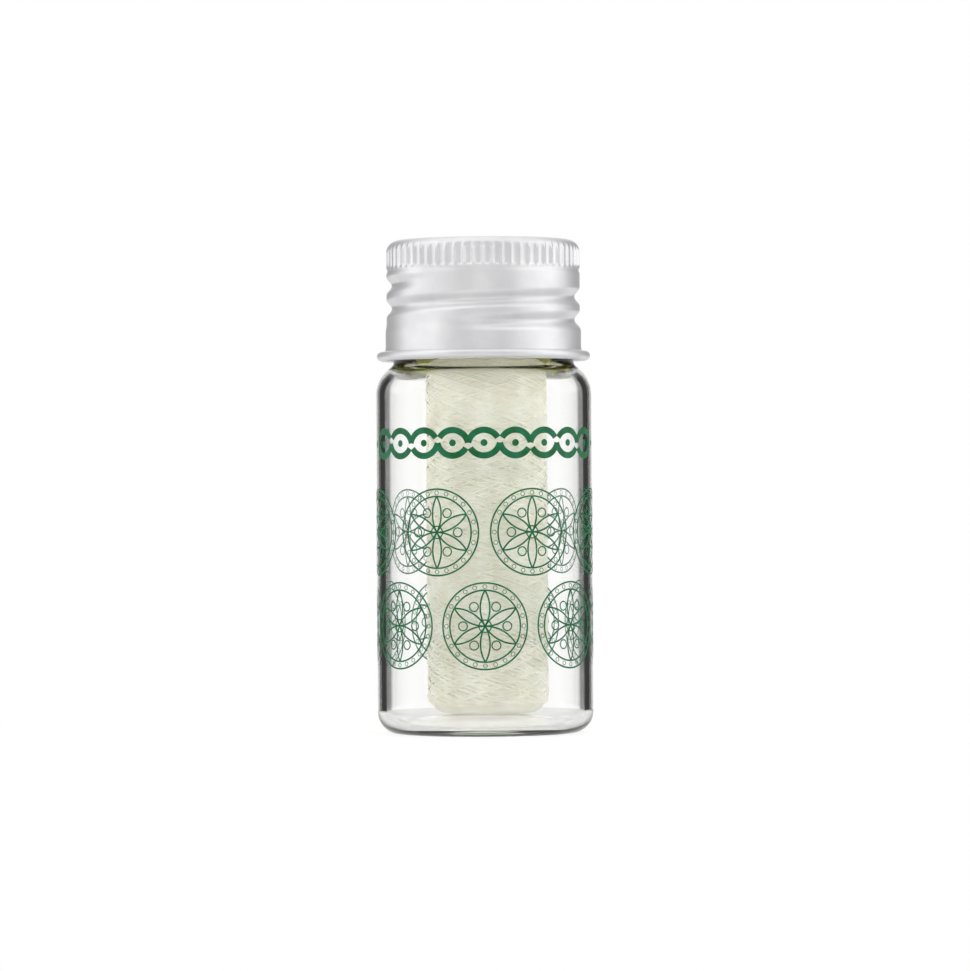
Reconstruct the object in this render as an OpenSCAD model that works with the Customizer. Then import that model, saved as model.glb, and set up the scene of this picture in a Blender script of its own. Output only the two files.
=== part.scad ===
// Dental floss dispenser: a glass screw vial with a rolled aluminium cap, a plug with a cutter
// in its neck and a cross-wound floss package inside. Millimetres, +Z up, the origin at the
// centre of the base, the front towards -Y.

/* [Vial] */
// Outer diameter of the glass body
vial_d = 30; // [29:0.5:34]
// Thickness of the glass wall
vial_wall = 1.2; // [0.9:0.1:1.6]
// Height at which the shoulder starts to turn in
body_h = 47.05; // [46:0.05:60]
// Glass between the hollow under the base and the floor inside
base_t = 2; // [1.5:0.1:3]
// Depth of the hollow under the base
punt_h = 0.8; // [0.4:0.1:1.2]
// Radius of the heel, where the wall turns into the base
heel_r = 3; // [2:0.5:4]
// Width of the flat ring that the vial stands on
foot_w = 1; // [0.6:0.1:2]
// Radius of the floor's corner inside
floor_corner_r = 2.5; // [1.5:0.5:3]
// Radius of the shoulder
shoulder_r = 4.6; // [4.2:0.1:5]
// How far the neck stands in from the body's side
neck_step = 2.5; // [2.4:0.05:2.7]
// Radius between shoulder and neck
neck_fillet_r = 1; // [0.6:0.1:1.4]
// Height of the neck's plain ring above that radius
neck_ring_h = 1.8; // [1:0.1:2.5]
// Thickness of the neck's wall
neck_wall = 2.2; // [2:0.1:2.5]

/* [Thread] */
// Rise of the thread in one turn
thread_pitch = 3.175; // [3.1:0.025:3.3]
// Depth of the threaded part of the neck below its plain ring
thread_relief = 0.45; // [0.4:0.05:0.6]
// Height of the glass thread
glass_thread_h = 0.75; // [0.65:0.05:0.8]
// Depth of the cap's rolled thread
cap_thread_depth = 0.75; // [0.6:0.05:0.8]
// Gap between the glass thread and the cap
thread_gap = 0.3; // [0.3:0.05:0.4]

/* [Cap] */
// Thickness of the aluminium sheet
sheet_t = 0.35; // [0.25:0.05:0.4]
// Height of the cap
cap_h = 16.8; // [16.4:0.1:17.2]
// Gap between the cap's edge and the top of the shoulder
cap_gap = 0.05; // [0.05:0.05:0.5]
// Radius of the cap's upper corner
cap_corner_r = 1.7; // [1.2:0.1:2]
// Flutes round the knurled band
flute_count = 64; // [48:4:72]
// Depth of a flute
flute_depth = 0.22; // [0.15:0.01:0.25]
// Radius of the roller that presses a flute
flute_r = 0.55; // [0.4:0.05:0.6]
// Height from the band's lower edge to the top of the cap
band_h = 4; // [3.5:0.1:4.4]
// Height of the plain skirt with its curled edge
skirt_h = 3.95; // [3.8:0.05:4.2]
// How far the skirt stands out from the threaded part
skirt_step = 0.15; // [0.1:0.05:0.3]
// How far the skirt flares out before it curls
curl_flare = 0.26; // [0.2:0.02:0.4]
// Height of the curled edge
curl_h = 1.32; // [1.2:0.02:1.5]

/* [Liner] */
// Thickness of the sealing disc
liner_t = 1.15; // [0.9:0.05:1.4]
// Gap between the sealing disc and the flutes
liner_gap = 0.28; // [0.2:0.02:0.5]

/* [Insert] */
// How far the flange stops short of the lip's outer side
flange_setback = 0.65; // [0.5:0.05:1]
// Thickness of the flange
flange_t = 0.8; // [0.6:0.1:1.2]
// Drop from the lip to the recessed floor
recess_h = 4.5; // [4:0.1:5]
// Thickness of the floor
insert_floor_t = 0.9; // [0.7:0.1:1.2]
// Length of the skirt under the floor
insert_skirt_h = 1.5; // [1:0.1:2.5]
// Thickness of the plug's wall
insert_wall = 0.9; // [0.7:0.1:1.2]
// Gap between the plug's sealing ribs and the glass
rib_gap = 0.05; // [0.03:0.01:0.1]
// Height of a sealing rib over the plug's wall
rib_h = 0.25; // [0.15:0.05:0.35]
// Diameter of the floss hole
floss_hole_d = 1.6; // [1.2:0.1:2]
// Diameter of the raised rim round the floss hole
rim_d = 4; // [3.6:0.2:5]
// Height of that rim
rim_h = 0.5; // [0.3:0.1:0.8]

/* [Cutter] */
// Thickness of the steel strip
blade_t = 0.3; // [0.2:0.05:0.4]
// Width of the cutter
blade_w = 6; // [5.5:0.5:6]
// Height of the upright blade
blade_h = 3.2; // [3:0.1:3.4]
// Length of the foot
blade_foot = 3.2; // [3:0.1:3.4]
// Distance of the blade from the wall of the recess
blade_inset = 4.5; // [4.3:0.1:4.8]
// Width of the notch at its mouth
notch_w = 2.4; // [2:0.1:3]
// Width of the slot that holds the floss
slot_w = 0.7; // [0.65:0.05:0.8]
// Distance between the two pegs
peg_spacing = 3.6; // [3.2:0.1:3.8]
// Diameter of a peg
peg_d = 1; // [0.8:0.1:1.1]
// Diameter of a peg's head
peg_head_d = 1.6; // [1.4:0.1:1.8]

/* [Floss] */
// Gap between the floss package and the neck's bore, on each side
package_gap = 1.75; // [1:0.05:2.3]
// Room between the package and the insert
headroom = 5.5; // [4.5:0.5:8]
// Distance of the package from the vial's axis
package_x = 0.35; // [0:0.05:0.8]
// Diameter of the package's centre hole
package_bore_d = 3; // [2.4:0.1:4]
// Radius of the package's corners
package_corner_r = 1.2; // [0.8:0.1:1.6]
// Diameter of the floss
strand_d = 0.6; // [0.5:0.05:0.7]
// Trips of the winding up the package and down again
winding_trips = 3; // [2:1:3]
// Turns round the package in one trip
trip_turns = 6; // [5:1:6]

/* [Hidden] */
$fn = 36;
// Facets of the pieces inside, in a preview
inner_fn = 30;

// Extra length that cutting shapes run past what they cut
overrun = 0.5;
// Depth by which a part of a solid is rooted in the wall that carries it
root_in = 0.2;

// Glass
vial_r = vial_d / 2;
neck_r = vial_r - neck_step;
bore_r = neck_r - neck_wall;
root_r = neck_r - thread_relief;
crest_r = root_r + glass_thread_h;
cap_bottom_z = body_h + shoulder_r + cap_gap;
cap_top_z = cap_bottom_z + cap_h;
lip_z = cap_top_z - sheet_t - liner_t - flange_t;
floor_z = punt_h + base_t;
lip_round_r = 0.45;
mouth_round_r = 0.35;
arc_steps = 4;
foot_inner_r = vial_r - heel_r - foot_w;
punt_flat_share = 0.25;
punt_flat_r = foot_inner_r * punt_flat_share;
shoulder_c = [vial_r - shoulder_r, body_h];
fillet_c_x = neck_r + neck_fillet_r;
fillet_c = [fillet_c_x,
    body_h + sqrt(pow(shoulder_r + neck_fillet_r, 2) - pow(fillet_c_x - shoulder_c[0], 2))];
fillet_a = atan2(fillet_c[1] - shoulder_c[1], fillet_c[0] - shoulder_c[0]);
ring_top_z = fillet_c[1] + neck_ring_h;

// Thread: rings in one turn, and the arc over which a thread rises out of its wall
thread_rings = 30;
fade_a = 50;
// Faintest height of a thread, at its two ends
fade_share = 0.12;
// Width of a thread at its ends, as a share of its width further on
end_width_share = 0.5;
// Angles at which the threads start, from the right-hand side, and half widths across them
cap_thread_start = -80;
glass_thread_start = 12;
glass_crest_half = 0.35;
glass_root_half = 0.95;
glass_slope = (glass_root_half - glass_crest_half) / (crest_r - root_r);
groove_mouth_half = 1.05;
groove_floor_half = 0.25;
groove_slope = (groove_mouth_half - groove_floor_half) / cap_thread_depth;
// Shift along the axis that keeps the rolled sheet's thickness across a sloping flank
flank_shift = sheet_t * sqrt(1 + pow(groove_slope, 2));
// The cap's thread at angle zero; the glass thread lies half a turn away from it
cap_thread_z = cap_bottom_z + skirt_h + groove_mouth_half - thread_pitch * cap_thread_start / 360;
glass_thread_z = cap_thread_z + thread_pitch / 2;
// The cap's thread fills the height between skirt and band, less a gap under the band
hollow_h = 0.5;
hollow_depth = 0.15;
thread_top_gap = 0.22;
cap_thread_turns = (cap_h - band_h - hollow_h - thread_top_gap - skirt_h - 2 * groove_mouth_half)
    / thread_pitch;
glass_turns_share = 0.79;
glass_thread_turns = cap_thread_turns * glass_turns_share;

// Cap
cap_inner_r = crest_r + thread_gap;
cap_r = cap_inner_r + sheet_t;
skirt_r = cap_r + skirt_step;
skirt_inner_r = skirt_r - sheet_t;
band_inner_r = cap_inner_r - flute_depth;
corner_tuck = 0.15;
inner_corner_r = cap_corner_r - sheet_t - corner_tuck;
cap_top_inner_z = cap_top_z - sheet_t;
band_z = cap_top_z - band_h;
hollow_z = band_z - hollow_h;
step_h = 0.4;
step_z = cap_bottom_z + skirt_h;
curl_r = curl_h / 2;
curl_c = [skirt_inner_r + curl_flare + curl_r, cap_bottom_z + curl_r];
curl_end_a = 112;
curl_steps = 8;
flare_z = cap_bottom_z + curl_h + 2 * sheet_t;

// Liner
liner_r = band_inner_r - liner_gap;
liner_bottom_z = lip_z + flange_t;
liner_edge_share = 0.35;

// Insert
flange_r = root_r - flange_setback;
recess_z = lip_z - recess_h;
insert_floor_z = recess_z - insert_floor_t;
insert_bottom_z = insert_floor_z - insert_skirt_h;
plug_r = bore_r - rib_gap - rib_h;
recess_r = plug_r - insert_wall;
insert_chamfer = 0.4;
rib_half = 0.3;
// Places of the sealing ribs, as shares of the plug's length below the flange
rib_shares = [0.3, 0.5, 0.7];
rim_chamfer = 0.3;
peg_head_h = 0.35;
peg_head_gap = 0.02;
blade_y = recess_r - blade_inset;
peg_y = blade_y + blade_t + (blade_foot - blade_t) / 2;
hole_gap = 0.05;

// Cutter
blade_top_z = recess_z + blade_h;
slot_depth = 1.5;
notch_depth = 1.2;
slot_z = blade_top_z - slot_depth;
notch_floor_z = blade_top_z - notch_depth;
blade_corner = 0.8;

// Floss: the strand's two layers, wound up in the inner one and down in the outer one
package_r = bore_r - package_gap;
package_h = insert_bottom_z - headroom - floor_z;
layer_gap = 0.47;
lay_gap = 0.12;
outer_lay_r = package_r - strand_d / 2;
inner_lay_r = outer_lay_r - strand_d - layer_gap;
core_r = inner_lay_r - strand_d / 2 - lay_gap;
core_corner_steps = 4;
winding_margin = 1.2;
winding_low_z = floor_z + winding_margin;
winding_high_z = floor_z + package_h - winding_margin;
// A third of a turn less in each trip sets the trips side by side
turns_per_trip = trip_turns + 1 - 1 / winding_trips;
sweep_a = 180 * turns_per_trip;
turn_back_a = 36;
free_a = 40;
loop_rings = 24;
strand_sides = 6;
winding_a = 2 * sweep_a * winding_trips;
dive_r = 0.7;
dive_steps = 4;
pocket_gap = 0.2;
pocket_depth = 1.5;
pocket_floor_r = core_r - pocket_depth;

// Running end of the floss: up out of the package's centre hole, through the insert, over to
// the cutter's slot and down to its cut end
lead_sides = 8;
lead_start_depth = 5.8;
lead_start_z = floor_z + package_h - lead_start_depth;
lead_z = slot_z + hole_gap + strand_d / 2;
lead_bend_r = 1.2;
lead_end_r = 1.4;
lead_end_a = 15;
lead_rise_steps = 9;
lead_bend_steps = 4;

// Points of an arc about c, from angle a to angle b
function arc(c, r, a, b, steps) =
    [for (i = [0 : steps]) let (t = a + (b - a) * i / steps) c + r * [cos(t), sin(t)]];

function unit(v) = v / norm(v);

// Half width scale and height of a thread, which rises and dies away over its ends
function smooth(x) = let (t = min(1, max(0, x))) t * t * (3 - 2 * t);
function fade(a, from, to) =
    fade_share + (1 - fade_share) * smooth(min(a - from, to - a) / fade_a);

// Skin of triangles over a row of rings with the same number of points
module skin(rings) {
    n = len(rings[0]);
    last = (len(rings) - 1) * n;
    sides = [for (i = [0 : len(rings) - 2]) for (j = [0 : n - 1])
        let (a = i * n + j, b = i * n + (j + 1) % n)
        each [[a, b, a + n], [b, b + n, a + n]]];
    near_end = [for (j = [1 : n - 2]) [0, j + 1, j]];
    far_end = [for (j = [1 : n - 2]) [last, last + j, last + j + 1]];
    polyhedron([for (ring = rings) each ring], concat(sides, near_end, far_end));
}

// Rings of a thread whose section is a list of [radius, half width] from its root to its tip,
// given for its full height; wall_r is the radius of the wall that it grows out of
function thread_ring(section, wall_r, a, z, f) =
    let (width = end_width_share + (1 - end_width_share) * f,
        flank = [for (p = section) [wall_r + (p[0] - wall_r) * (p == section[0] ? 1 : f),
            p[1] * width]],
        low = [for (p = flank) [p[0] * cos(a), p[0] * sin(a), z - p[1]]],
        high = [for (i = [len(flank) - 1 : -1 : 0])
            [flank[i][0] * cos(a), flank[i][0] * sin(a), z + flank[i][1]]])
    concat(low, high);

module thread(section, wall_r, start_a, turns, datum_z, outward) {
    end_a = start_a + 360 * turns;
    steps = ceil(turns * thread_rings);
    rings = [for (i = [0 : steps])
        let (a = start_a + (end_a - start_a) * i / steps)
        thread_ring(section, wall_r, a, datum_z + thread_pitch * a / 360,
            fade(a, start_a, end_a))];
    skin(outward ? rings : [for (i = [steps : -1 : 0]) rings[i]]);
}

module glass_vial() {
    wall_r = vial_r - vial_wall;
    inner_shoulder_r = shoulder_r - vial_wall;
    punt_steps = 3;
    outside = concat(
        [[0, punt_h]],
        [for (i = [0 : punt_steps])
            [punt_flat_r + (foot_inner_r - punt_flat_r) * i / punt_steps,
                punt_h * (1 - pow(i / punt_steps, 2))]],
        arc([vial_r - heel_r, heel_r], heel_r, -90, 0, arc_steps),
        arc(shoulder_c, shoulder_r, 0, fillet_a, arc_steps),
        arc(fillet_c, neck_fillet_r, 180 + fillet_a - fillet_a / 3, 180, 2),
        [[neck_r, ring_top_z], [root_r, ring_top_z + neck_r - root_r]],
        arc([root_r - lip_round_r, lip_z - lip_round_r], lip_round_r, 0, 90, 3));
    inside = concat(
        arc([bore_r + mouth_round_r, lip_z - mouth_round_r], mouth_round_r, 90, 180, 2),
        bore_r < shoulder_c[0]
            ? [[bore_r, body_h + inner_shoulder_r]] : [],
        arc(shoulder_c, inner_shoulder_r,
            bore_r < shoulder_c[0] ? 90 : acos((bore_r - shoulder_c[0]) / inner_shoulder_r),
            0, arc_steps),
        arc([wall_r - floor_corner_r, floor_z + floor_corner_r], floor_corner_r,
            0, -90, arc_steps),
        [[0, floor_z]]);
    color("#dfe7e2", 0.35)
    union() {
        rotate_extrude() polygon(concat(outside, inside));
        thread([[root_r - root_in, glass_root_half + glass_slope * root_in],
            [crest_r, glass_crest_half]],
            root_r, glass_thread_start, glass_thread_turns, glass_thread_z, true);
    }
}

module cap_shell() {
    corner_c = [cap_r - cap_corner_r, cap_top_z - cap_corner_r];
    inner_corner_c = [band_inner_r - inner_corner_r, cap_top_inner_z - inner_corner_r];
    outside = concat(
        [[0, cap_top_z]],
        arc(corner_c, cap_corner_r, 90, 0, arc_steps),
        [[cap_r, band_z], [cap_r - hollow_depth, band_z - hollow_h / 2], [cap_r, hollow_z],
            [cap_r, step_z], [skirt_r, step_z - step_h], [skirt_r, flare_z]]);
    // The sheet runs down, out and up again in one open curl
    curl = concat(
        arc(curl_c, curl_r - sheet_t, 180, 360 + curl_end_a, curl_steps),
        arc(curl_c, curl_r, curl_end_a, -180, curl_steps));
    inside = concat(
        [[skirt_inner_r, flare_z], [skirt_inner_r, step_z - step_h], [cap_inner_r, step_z],
            [cap_inner_r, hollow_z],
            [band_inner_r, band_z - hollow_h / 2]],
        arc(inner_corner_c, inner_corner_r, 0, 90, 3),
        [[0, cap_top_inner_z]]);
    ridge = [for (depth = [-root_in, cap_thread_depth - sheet_t, cap_thread_depth])
        [cap_inner_r - depth,
            groove_mouth_half + flank_shift - groove_slope * (sheet_t + depth)]];
    groove = [[cap_r + overrun, groove_mouth_half + groove_slope * overrun],
        [cap_r - cap_thread_depth, groove_floor_half]];
    color("#d2d2d4")
    difference() {
        union() {
            rotate_extrude() polygon(concat(outside, curl, inside));
            thread(ridge, cap_inner_r, cap_thread_start, cap_thread_turns, cap_thread_z, false);
        }
        thread(groove, cap_r, cap_thread_start, cap_thread_turns, cap_thread_z, false);
        for (i = [0 : flute_count - 1])
            rotate(360 * (i + 0.5) / flute_count)
            translate([cap_r + flute_r - flute_depth, 0, band_z])
            cylinder(r = flute_r, h = band_h, $fn = 16);
    }
}

module cap_liner() {
    edge_z = liner_bottom_z + liner_t * liner_edge_share;
    top_r = min(liner_r, band_inner_r - inner_corner_r);
    color("#f1efe6")
    rotate_extrude($fn = inner_fn)
    polygon([[0, liner_bottom_z], [liner_r, liner_bottom_z], [liner_r, edge_z],
        [top_r, cap_top_inner_z], [0, cap_top_inner_z]]);
}

module dispenser_insert() {
    plug_h = lip_z - insert_bottom_z;
    ribs = [for (share = rib_shares)
        let (z = lip_z - plug_h * share)
        each [[plug_r, z + rib_half], [plug_r + rib_h, z], [plug_r, z - rib_half]]];
    section = concat(
        [[0, recess_z], [recess_r, recess_z], [recess_r, liner_bottom_z],
            [flange_r, liner_bottom_z], [flange_r, lip_z], [plug_r, lip_z]],
        ribs,
        [[plug_r, insert_bottom_z + insert_chamfer], [plug_r - insert_chamfer, insert_bottom_z],
            [recess_r, insert_bottom_z], [recess_r, insert_floor_z], [0, insert_floor_z]]);
    foot_top_z = recess_z + blade_t;
    color("#f4f3ee")
    difference() {
        union() {
            rotate_extrude($fn = inner_fn) polygon(section);
            translate([0, 0, recess_z - root_in])
                cylinder(d1 = rim_d, d2 = rim_d - 2 * rim_chamfer, h = rim_h + root_in, $fn = inner_fn);
            for (side = [-1, 1])
                translate([side * peg_spacing / 2, peg_y, 0]) {
                    translate([0, 0, recess_z - root_in])
                        cylinder(d = peg_d, h = foot_top_z + peg_head_h - recess_z, $fn = 16);
                    translate([0, 0, foot_top_z + peg_head_gap])
                        cylinder(d1 = peg_head_d, d2 = peg_d, h = peg_head_h, $fn = 16);
                }
        }
        translate([0, 0, insert_floor_z - overrun])
            cylinder(d = floss_hole_d, h = insert_floor_t + rim_h + 2 * overrun, $fn = 24);
    }
}

module floss_cutter() {
    half_w = blade_w / 2;
    color("#b9bbbd")
    union() {
        translate([0, blade_y + blade_t, 0])
        rotate([90, 0, 0])
        linear_extrude(blade_t)
        polygon([[-half_w, recess_z], [half_w, recess_z], [half_w, blade_top_z - blade_corner],
            [half_w - blade_corner, blade_top_z], [notch_w / 2, blade_top_z],
            [slot_w / 2, notch_floor_z], [slot_w / 2, slot_z], [-slot_w / 2, slot_z],
            [-slot_w / 2, notch_floor_z], [-notch_w / 2, blade_top_z],
            [blade_corner - half_w, blade_top_z], [-half_w, blade_top_z - blade_corner]]);
        translate([0, 0, recess_z])
        linear_extrude(blade_t)
        difference() {
            translate([-half_w, blade_y]) square([blade_w, blade_foot]);
            for (side = [-1, 1])
                translate([side * peg_spacing / 2, peg_y])
                circle(d = peg_d + 2 * hole_gap, $fn = 24);
        }
    }
}

// The strand's way round the package: it climbs in the inner layer, turns back at the top and
// comes down in the outer one, trip after trip
function phase(a) = a - 2 * sweep_a * floor(a / (2 * sweep_a));
function rounded(w) = w < turn_back_a ? turn_back_a / 2 + w * w / (2 * turn_back_a) : w;
function lay_z(p) =
    let (low = min(p, 2 * sweep_a - p), high = abs(p - sweep_a),
        rise = (winding_high_z - winding_low_z) / sweep_a)
    low < high ? winding_low_z + rise * rounded(low) : winding_high_z - rise * rounded(high);
function lay_r(p) =
    let (to_low = p > sweep_a ? p - 2 * sweep_a : p,
        outer = abs(p - sweep_a) < abs(to_low)
            ? smooth((p - sweep_a) / (2 * turn_back_a) + 0.5)
            : smooth(0.5 - to_low / (2 * turn_back_a)))
    inner_lay_r + (outer_lay_r - inner_lay_r) * outer;
function on_lay(a) =
    let (p = phase(a)) [lay_r(p) * cos(a), lay_r(p) * sin(a), lay_z(p)];

// An end of the strand turns square to the core and runs straight to its pocket's floor
function dive(a, way) =
    let (p = on_lay(a), out = [cos(a), sin(a), 0], along = way * [-sin(a), cos(a), 0],
        bend = [for (i = [1 : dive_steps])
            let (t = 90 * i / dive_steps)
            p + dive_r * sin(t) * along - dive_r * (1 - cos(t)) * out])
    concat(bend, [bend[dive_steps - 1] + (pocket_floor_r - lay_r(phase(a)) + dive_r) * out]);

function backwards(list) = [for (i = [len(list) - 1 : -1 : 0]) list[i]];

first_a = free_a;
last_a = winding_a - free_a;
lay_steps = ceil((last_a - first_a) * loop_rings / 360);
winding_route = concat(backwards(dive(first_a, -1)),
    [for (i = [0 : lay_steps]) on_lay(first_a + (last_a - first_a) * i / lay_steps)],
    dive(last_a, 1));

lead_route = concat(
    [for (i = [0 : lead_rise_steps])
        let (share = i / lead_rise_steps)
        [package_x * (1 - smooth(share)), 0, lead_start_z + (recess_z - lead_start_z) * share]],
    [for (p = arc([lead_bend_r, lead_z - lead_bend_r], lead_bend_r, 180, 90, lead_bend_steps))
        [0, p[0], p[1]]],
    [[0, (lead_bend_r + blade_y) / 2, lead_z]],
    [for (p = arc([blade_y + blade_t, lead_z - lead_end_r], lead_end_r, 90, lead_end_a,
        lead_bend_steps)) [0, p[0], p[1]]]);

// Rings of a round strand along a route, turned about the direction ref that it never follows
function strand_rings(route, r, sides, ref) =
    [for (i = [0 : len(route) - 1])
        let (t = unit(route[min(i + 1, len(route) - 1)] - route[max(i - 1, 0)]),
            u = unit(ref - (ref * t) * t),
            v = cross(u, t))
        [for (j = [0 : sides - 1])
            let (a = 360 * j / sides) route[i] + r * (cos(a) * u + sin(a) * v)]];

// Least gap of the winding to itself, on its points and the middles between them; neighbours
// within a quarter of a turn are left out
function halved(route) = [for (i = [0 : len(route) - 2]) each
    [route[i], (route[i] + route[i + 1]) / 2]];
function least_gap(points, skip) =
    min([for (i = [0 : len(points) - 1 - skip])
        min([for (j = [i + skip : len(points) - 1]) norm(points[i] - points[j])])]) - strand_d;

module floss_core() {
    color("#e9e6d8")
    difference() {
        translate([package_x, 0, 0])
        rotate_extrude($fn = inner_fn)
        polygon(concat(
            arc([core_r - package_corner_r, floor_z + package_corner_r], package_corner_r,
                -90, 0, core_corner_steps),
            arc([core_r - package_corner_r, floor_z + package_h - package_corner_r],
                package_corner_r, 0, 90, core_corner_steps),
            [[package_bore_d / 2, floor_z + package_h], [package_bore_d / 2, floor_z]]));
        for (end = [[first_a, -1], [last_a, 1]])
            translate([package_x, 0, lay_z(phase(end[0]))])
            rotate(end[0])
            translate([pocket_floor_r, end[1] * dive_r, 0])
            rotate([0, 90, 0])
            cylinder(d = strand_d + 2 * pocket_gap, h = core_r, $fn = 24);
    }
}

module floss_winding() {
    echo("least gap of the winding to itself", least_gap(halved(winding_route), loop_rings / 2));
    color("#f1efe4")
    translate([package_x, 0, 0])
        skin(strand_rings(winding_route, strand_d / 2, strand_sides, [0, 0, 1]));
}

module floss_lead() {
    color("#f1efe4")
        skin(strand_rings(lead_route, strand_d / 2, lead_sides, [1, 0, 0]));
}

glass_vial();
cap_shell();
cap_liner();
dispenser_insert();
floss_cutter();
floss_core();
floss_winding();
floss_lead();
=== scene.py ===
"""Looks of a glass dental floss dispenser with a rolled aluminium screw cap.

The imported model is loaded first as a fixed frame. Each class below makes the pieces of one
sub-assembly over its solids, dresses them and says which body carries them.
"""
import logging
import math
from dataclasses import dataclass, field
from enum import Enum
from typing import Any, Callable, ClassVar, Sequence

import bpy
import numpy as np
from mathutils import Matrix, Vector


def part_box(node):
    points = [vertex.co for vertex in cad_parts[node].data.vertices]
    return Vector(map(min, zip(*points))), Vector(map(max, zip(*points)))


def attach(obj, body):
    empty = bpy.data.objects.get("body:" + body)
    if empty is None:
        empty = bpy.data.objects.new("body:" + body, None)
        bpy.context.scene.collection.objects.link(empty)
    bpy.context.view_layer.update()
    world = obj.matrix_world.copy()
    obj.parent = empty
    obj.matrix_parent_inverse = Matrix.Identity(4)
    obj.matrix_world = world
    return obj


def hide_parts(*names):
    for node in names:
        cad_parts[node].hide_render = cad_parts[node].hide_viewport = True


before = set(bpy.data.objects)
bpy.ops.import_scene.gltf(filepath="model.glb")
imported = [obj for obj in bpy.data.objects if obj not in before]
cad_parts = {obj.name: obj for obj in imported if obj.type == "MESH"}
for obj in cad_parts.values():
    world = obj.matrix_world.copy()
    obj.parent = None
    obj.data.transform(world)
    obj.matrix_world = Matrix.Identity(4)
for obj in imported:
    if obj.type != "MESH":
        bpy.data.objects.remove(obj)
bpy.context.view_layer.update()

LOG = logging.getLogger("floss_dispenser")

# One millimetre in the scene's metres
MM = 0.001
# Points closer than this are one point
WELD = 0.002 * MM

# Pitch of the closure's thread, eight turns to the inch
PITCH = 3.175 * MM

# Radius and height in an outline, or X and Z on a flat sheet
Point = tuple[float, float]
# A point of an outline and the radius that rounds it
Corner = tuple[float, float, float]
# Two values of one kind, mostly the ends of a range
Pair = tuple[float, float]

# Noise lies mostly between these values, so they stand for the ends of its range
MIDDLE: Pair = (0.35, 0.65)
WHITE = (1.0, 1.0, 1.0, 1.0)


class Body(Enum):
    """Bodies that carry the pieces."""

    VIAL = "vial"
    CAP = "cap"
    LINER = "liner"
    PACKAGE = "package"


class Slot(Enum):
    """Material slots of the record."""

    GLASS = "vial_glass"
    ALUMINIUM = "cap_aluminium"
    FOAM = "liner_foam"
    PLASTIC = "insert_plastic"
    STEEL = "blade_steel"
    FLOSS = "floss"


# Colours and nodes


def linear(code: str) -> tuple[float, float, float, float]:
    """Turns an sRGB hex colour into linear light.

    Args:
        code: Colour such as "#a0b1c2".

    Returns:
        Red, green, blue and an alpha of one.
    """
    parts = [int(code[i : i + 2], 16) / 255 for i in (1, 3, 5)]
    red, green, blue = (p / 12.92 if p <= 0.04045 else ((p + 0.055) / 1.055) ** 2.4 for p in parts)
    return red, green, blue, 1.0


def add_node(
    tree: bpy.types.NodeTree, kind: str, inputs: dict[str | int, Any] | Sequence[Any] = (),
    **settings: Any,
) -> bpy.types.Node:
    """Adds a shader node with its settings, its fixed values and its links.

    Args:
        tree: Node tree that takes the node.
        kind: Type name of the node, after "ShaderNode".
        inputs: Fixed value, output socket, or node whose first output is meant, for each input
            by name or number, or for the first inputs in their order.
        **settings: Properties of the node.

    Returns:
        The new node.
    """
    node = tree.nodes.new("ShaderNode" + kind)
    for name, value in settings.items():
        setattr(node, name, value)
    given = inputs.items() if isinstance(inputs, dict) else enumerate(inputs)
    for key, value in given:
        if isinstance(value, bpy.types.Node):
            value = value.outputs[0]
        if isinstance(value, bpy.types.NodeSocket):
            tree.links.new(value, node.inputs[key])
        else:
            node.inputs[key].default_value = value
    return node


# Finishes


@dataclass(frozen=True)
class Finish:
    """A material, named for what the real one is and how its surface was made."""

    name: str

    def surface(self, tree: bpy.types.NodeTree) -> bpy.types.Node:
        """Adds the nodes of the surface and returns its shader."""
        raise NotImplementedError

    def inside(self, tree: bpy.types.NodeTree) -> bpy.types.Node | None:
        """Adds the nodes of what fills the piece, where light passes through it."""
        return None

    def material(self) -> bpy.types.Material:
        """Makes the material, or finds the one made earlier under this name.

        Returns:
            The material.
        """
        made = bpy.data.materials.get(self.name)
        if made:
            return made
        made = bpy.data.materials.new(self.name)
        made.use_nodes = True
        tree = made.node_tree
        tree.nodes.clear()
        inputs = {"Surface": self.surface(tree)}
        volume = self.inside(tree)
        if volume:
            inputs["Volume"] = volume
        add_node(tree, "OutputMaterial", inputs)
        return made


def object_place(tree: bpy.types.NodeTree, scale: Sequence[float] = (1, 1, 1)) -> bpy.types.Node:
    """Adds the place on the object, in metres, stretched by a scale along each axis.

    Args:
        tree: Node tree that takes the nodes.
        scale: Factors along X, Y and Z.

    Returns:
        The node that gives the place.
    """
    place = add_node(tree, "TexCoord").outputs["Object"]
    return add_node(tree, "Mapping", {"Vector": place, "Scale": scale})


def patchy(
    tree: bpy.types.NodeTree, pattern: bpy.types.Node, first: str, second: str,
    reach: Pair = MIDDLE,
) -> bpy.types.NodeSocket:
    """Turns a pattern into patches of two colours that blend into each other.

    Args:
        tree: Node tree that takes the nodes.
        pattern: Node of the pattern, from 0 to 1.
        first: Hex colour where the pattern is low.
        second: Hex colour where the pattern is high.
        reach: Values of the pattern at which the first colour ends and the second is full.

    Returns:
        The colour's socket.
    """
    share = add_node(tree, "MapRange", (pattern, *reach, 0, 1))
    inputs = {0: share, 6: linear(first), 7: linear(second)}
    return add_node(tree, "Mix", inputs, data_type="RGBA").outputs[2]


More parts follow.
